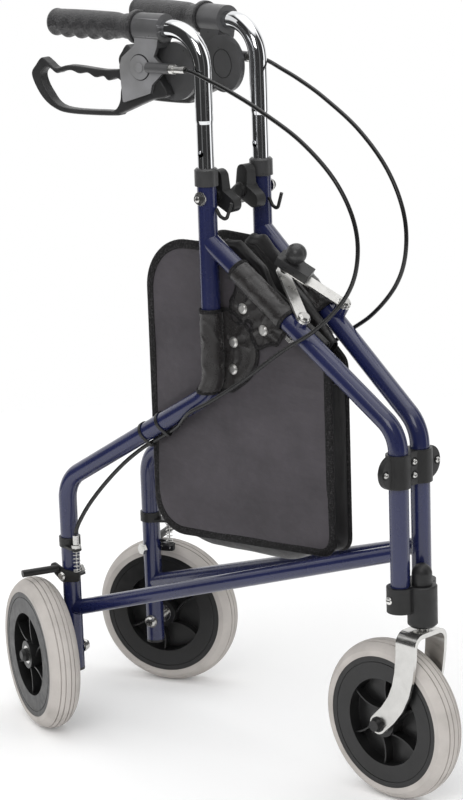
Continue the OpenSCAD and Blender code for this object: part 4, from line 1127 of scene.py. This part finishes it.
def add_world():
    """White behind the object, panels for metal to mirror, and soft light from one side for the rest."""
    world = bpy.data.worlds.new("studio")
    bpy.context.scene.world = world
    world.use_nodes = True
    tree = world.node_tree
    tree.nodes.clear()

    def node(kind, **values):
        made = tree.nodes.new(kind)
        for key, value in values.items():
            setattr(made, key, value)
        return made

    def background(strength):
        made = node("ShaderNodeBackground")
        made.inputs["Color"].default_value = (1, 1, 1, 1)
        made.inputs["Strength"].default_value = strength
        return made

    def mixed(share, a, b):
        made = node("ShaderNodeMixShader")
        tree.links.new(share, made.inputs["Fac"])
        tree.links.new(a, made.inputs[1])
        tree.links.new(b, made.inputs[2])
        return made.outputs["Shader"]

    def window(value, low, high, level):
        edge = node("ShaderNodeMapRange", interpolation_type="SMOOTHSTEP")
        edge.inputs["From Min"].default_value = low
        edge.inputs["From Max"].default_value = high
        edge.inputs["To Max"].default_value = level
        tree.links.new(value, edge.inputs["Value"])
        return edge.outputs["Result"]

    def vector(operation, a, b=None):
        made = node("ShaderNodeVectorMath", operation=operation)
        tree.links.new(a, made.inputs[0])
        if b is not None:
            made.inputs[1].default_value = b
        return made.outputs["Value" if operation == "DOT_PRODUCT" else "Vector"]

    way = node("ShaderNodeTexCoord").outputs["Generated"]
    compass = vector("NORMALIZE", vector("MULTIPLY", way, (1, 1, 0)))
    levels = [window(vector("DOT_PRODUCT", way, (0, 0, 1)), *TOP_LIGHT)]
    for turn, half, level in STRIP_LIGHTS:
        towards = (math.cos(math.radians(turn)), math.sin(math.radians(turn)), 0)
        levels.append(window(vector("DOT_PRODUCT", compass, towards), math.cos(math.radians(half * 1.4)),
                             math.cos(math.radians(half * 0.7)), level))
    seen = None
    for level in levels:
        both = node("ShaderNodeMath", operation="MAXIMUM")
        both.inputs[0].default_value = DIM_LEVEL
        if seen is not None:
            tree.links.new(seen, both.inputs[0])
        tree.links.new(level, both.inputs[1])
        seen = both.outputs["Value"]
    mirrored = background(1.0)
    tree.links.new(seen, mirrored.inputs["Color"])
    shade = node("ShaderNodeMapRange")
    for key, value in zip(("From Min", "From Max", "To Min", "To Max"), (-1, 1, *SOFT_LEVELS)):
        shade.inputs[key].default_value = value
    tree.links.new(vector("DOT_PRODUCT", way, SOFT_WAY), shade.inputs["Value"])
    soft = background(1.0)
    tree.links.new(shade.outputs["Result"], soft.inputs["Strength"])
    path = node("ShaderNodeLightPath")
    glossy = path.outputs["Is Glossy Ray"]
    shader = mixed(glossy, soft.outputs["Background"], mirrored.outputs["Background"])
    straight = node("ShaderNodeMath", operation="MAXIMUM")
    tree.links.new(path.outputs["Is Camera Ray"], straight.inputs[0])
    tree.links.new(path.outputs["Is Transmission Ray"], straight.inputs[1])
    shader = mixed(straight.outputs["Value"], shader, background(1.0).outputs["Background"])
    tree.links.new(shader, node("ShaderNodeOutputWorld").inputs["Surface"])


def add_stage():
    """Pale round floor and three soft lamps."""
    mesh = bpy.data.meshes.new("floor")
    turns = np.linspace(0, 2 * math.pi, 96, endpoint=False)
    ring = [(FLOOR_REACH * math.cos(t), FLOOR_REACH * math.sin(t), 0) for t in turns]
    mesh.from_pydata(ring, [], [tuple(range(len(ring)))])
    floor = bpy.data.objects.new("floor", mesh)
    bpy.context.scene.collection.objects.link(floor)
    s = Shader("floor", (0.97, 0.97, 0.97), 0.85, Specular_IOR_Level=0.0)
    s.colours(s.noise(2, 2), [(0.3, (0.965, 0.965, 0.965)), (0.7, (0.975, 0.975, 0.975))])
    glow = s.node("ShaderNodeMath", operation="MULTIPLY")
    glow.inputs[1].default_value = FLOOR_GLOW
    s.link(s.node("ShaderNodeLightPath").outputs["Is Camera Ray"], glow.inputs[0])
    s.set("Emission Color", (1, 1, 1, 1))
    s.link(glow.outputs["Value"], s.bsdf.inputs["Emission Strength"])
    mesh.materials.append(s.material)
    for name, at, size, watts in LAMPS:
        data = bpy.data.lights.new(name, "AREA")
        data.size = size
        data.energy = watts
        lamp = bpy.data.objects.new(name, data)
        bpy.context.scene.collection.objects.link(lamp)
        lamp.location = at
        aim = LAMP_AIM - Vector(at)
        lamp.rotation_euler = aim.to_track_quat("-Z", "Y").to_euler()


add_camera()
dress_nodes()
for side in SIDES:
    outline = bag_panel(side)
    bag_binding(side, outline)
    bag_gusset(side, outline)
    bag_mouth(side)
    post_strap(side)
    diagonal_strap(side)
    brake_cable(side)
    return_spring(side)
    paint_details(side)
    snap_rings(side)
    lever_loop(side)
    housing_shade_rings(side)
    grip_sleeve(side)
screw_details()
add_world()
add_stage()
bpy.context.scene.view_settings.view_transform = "Standard"
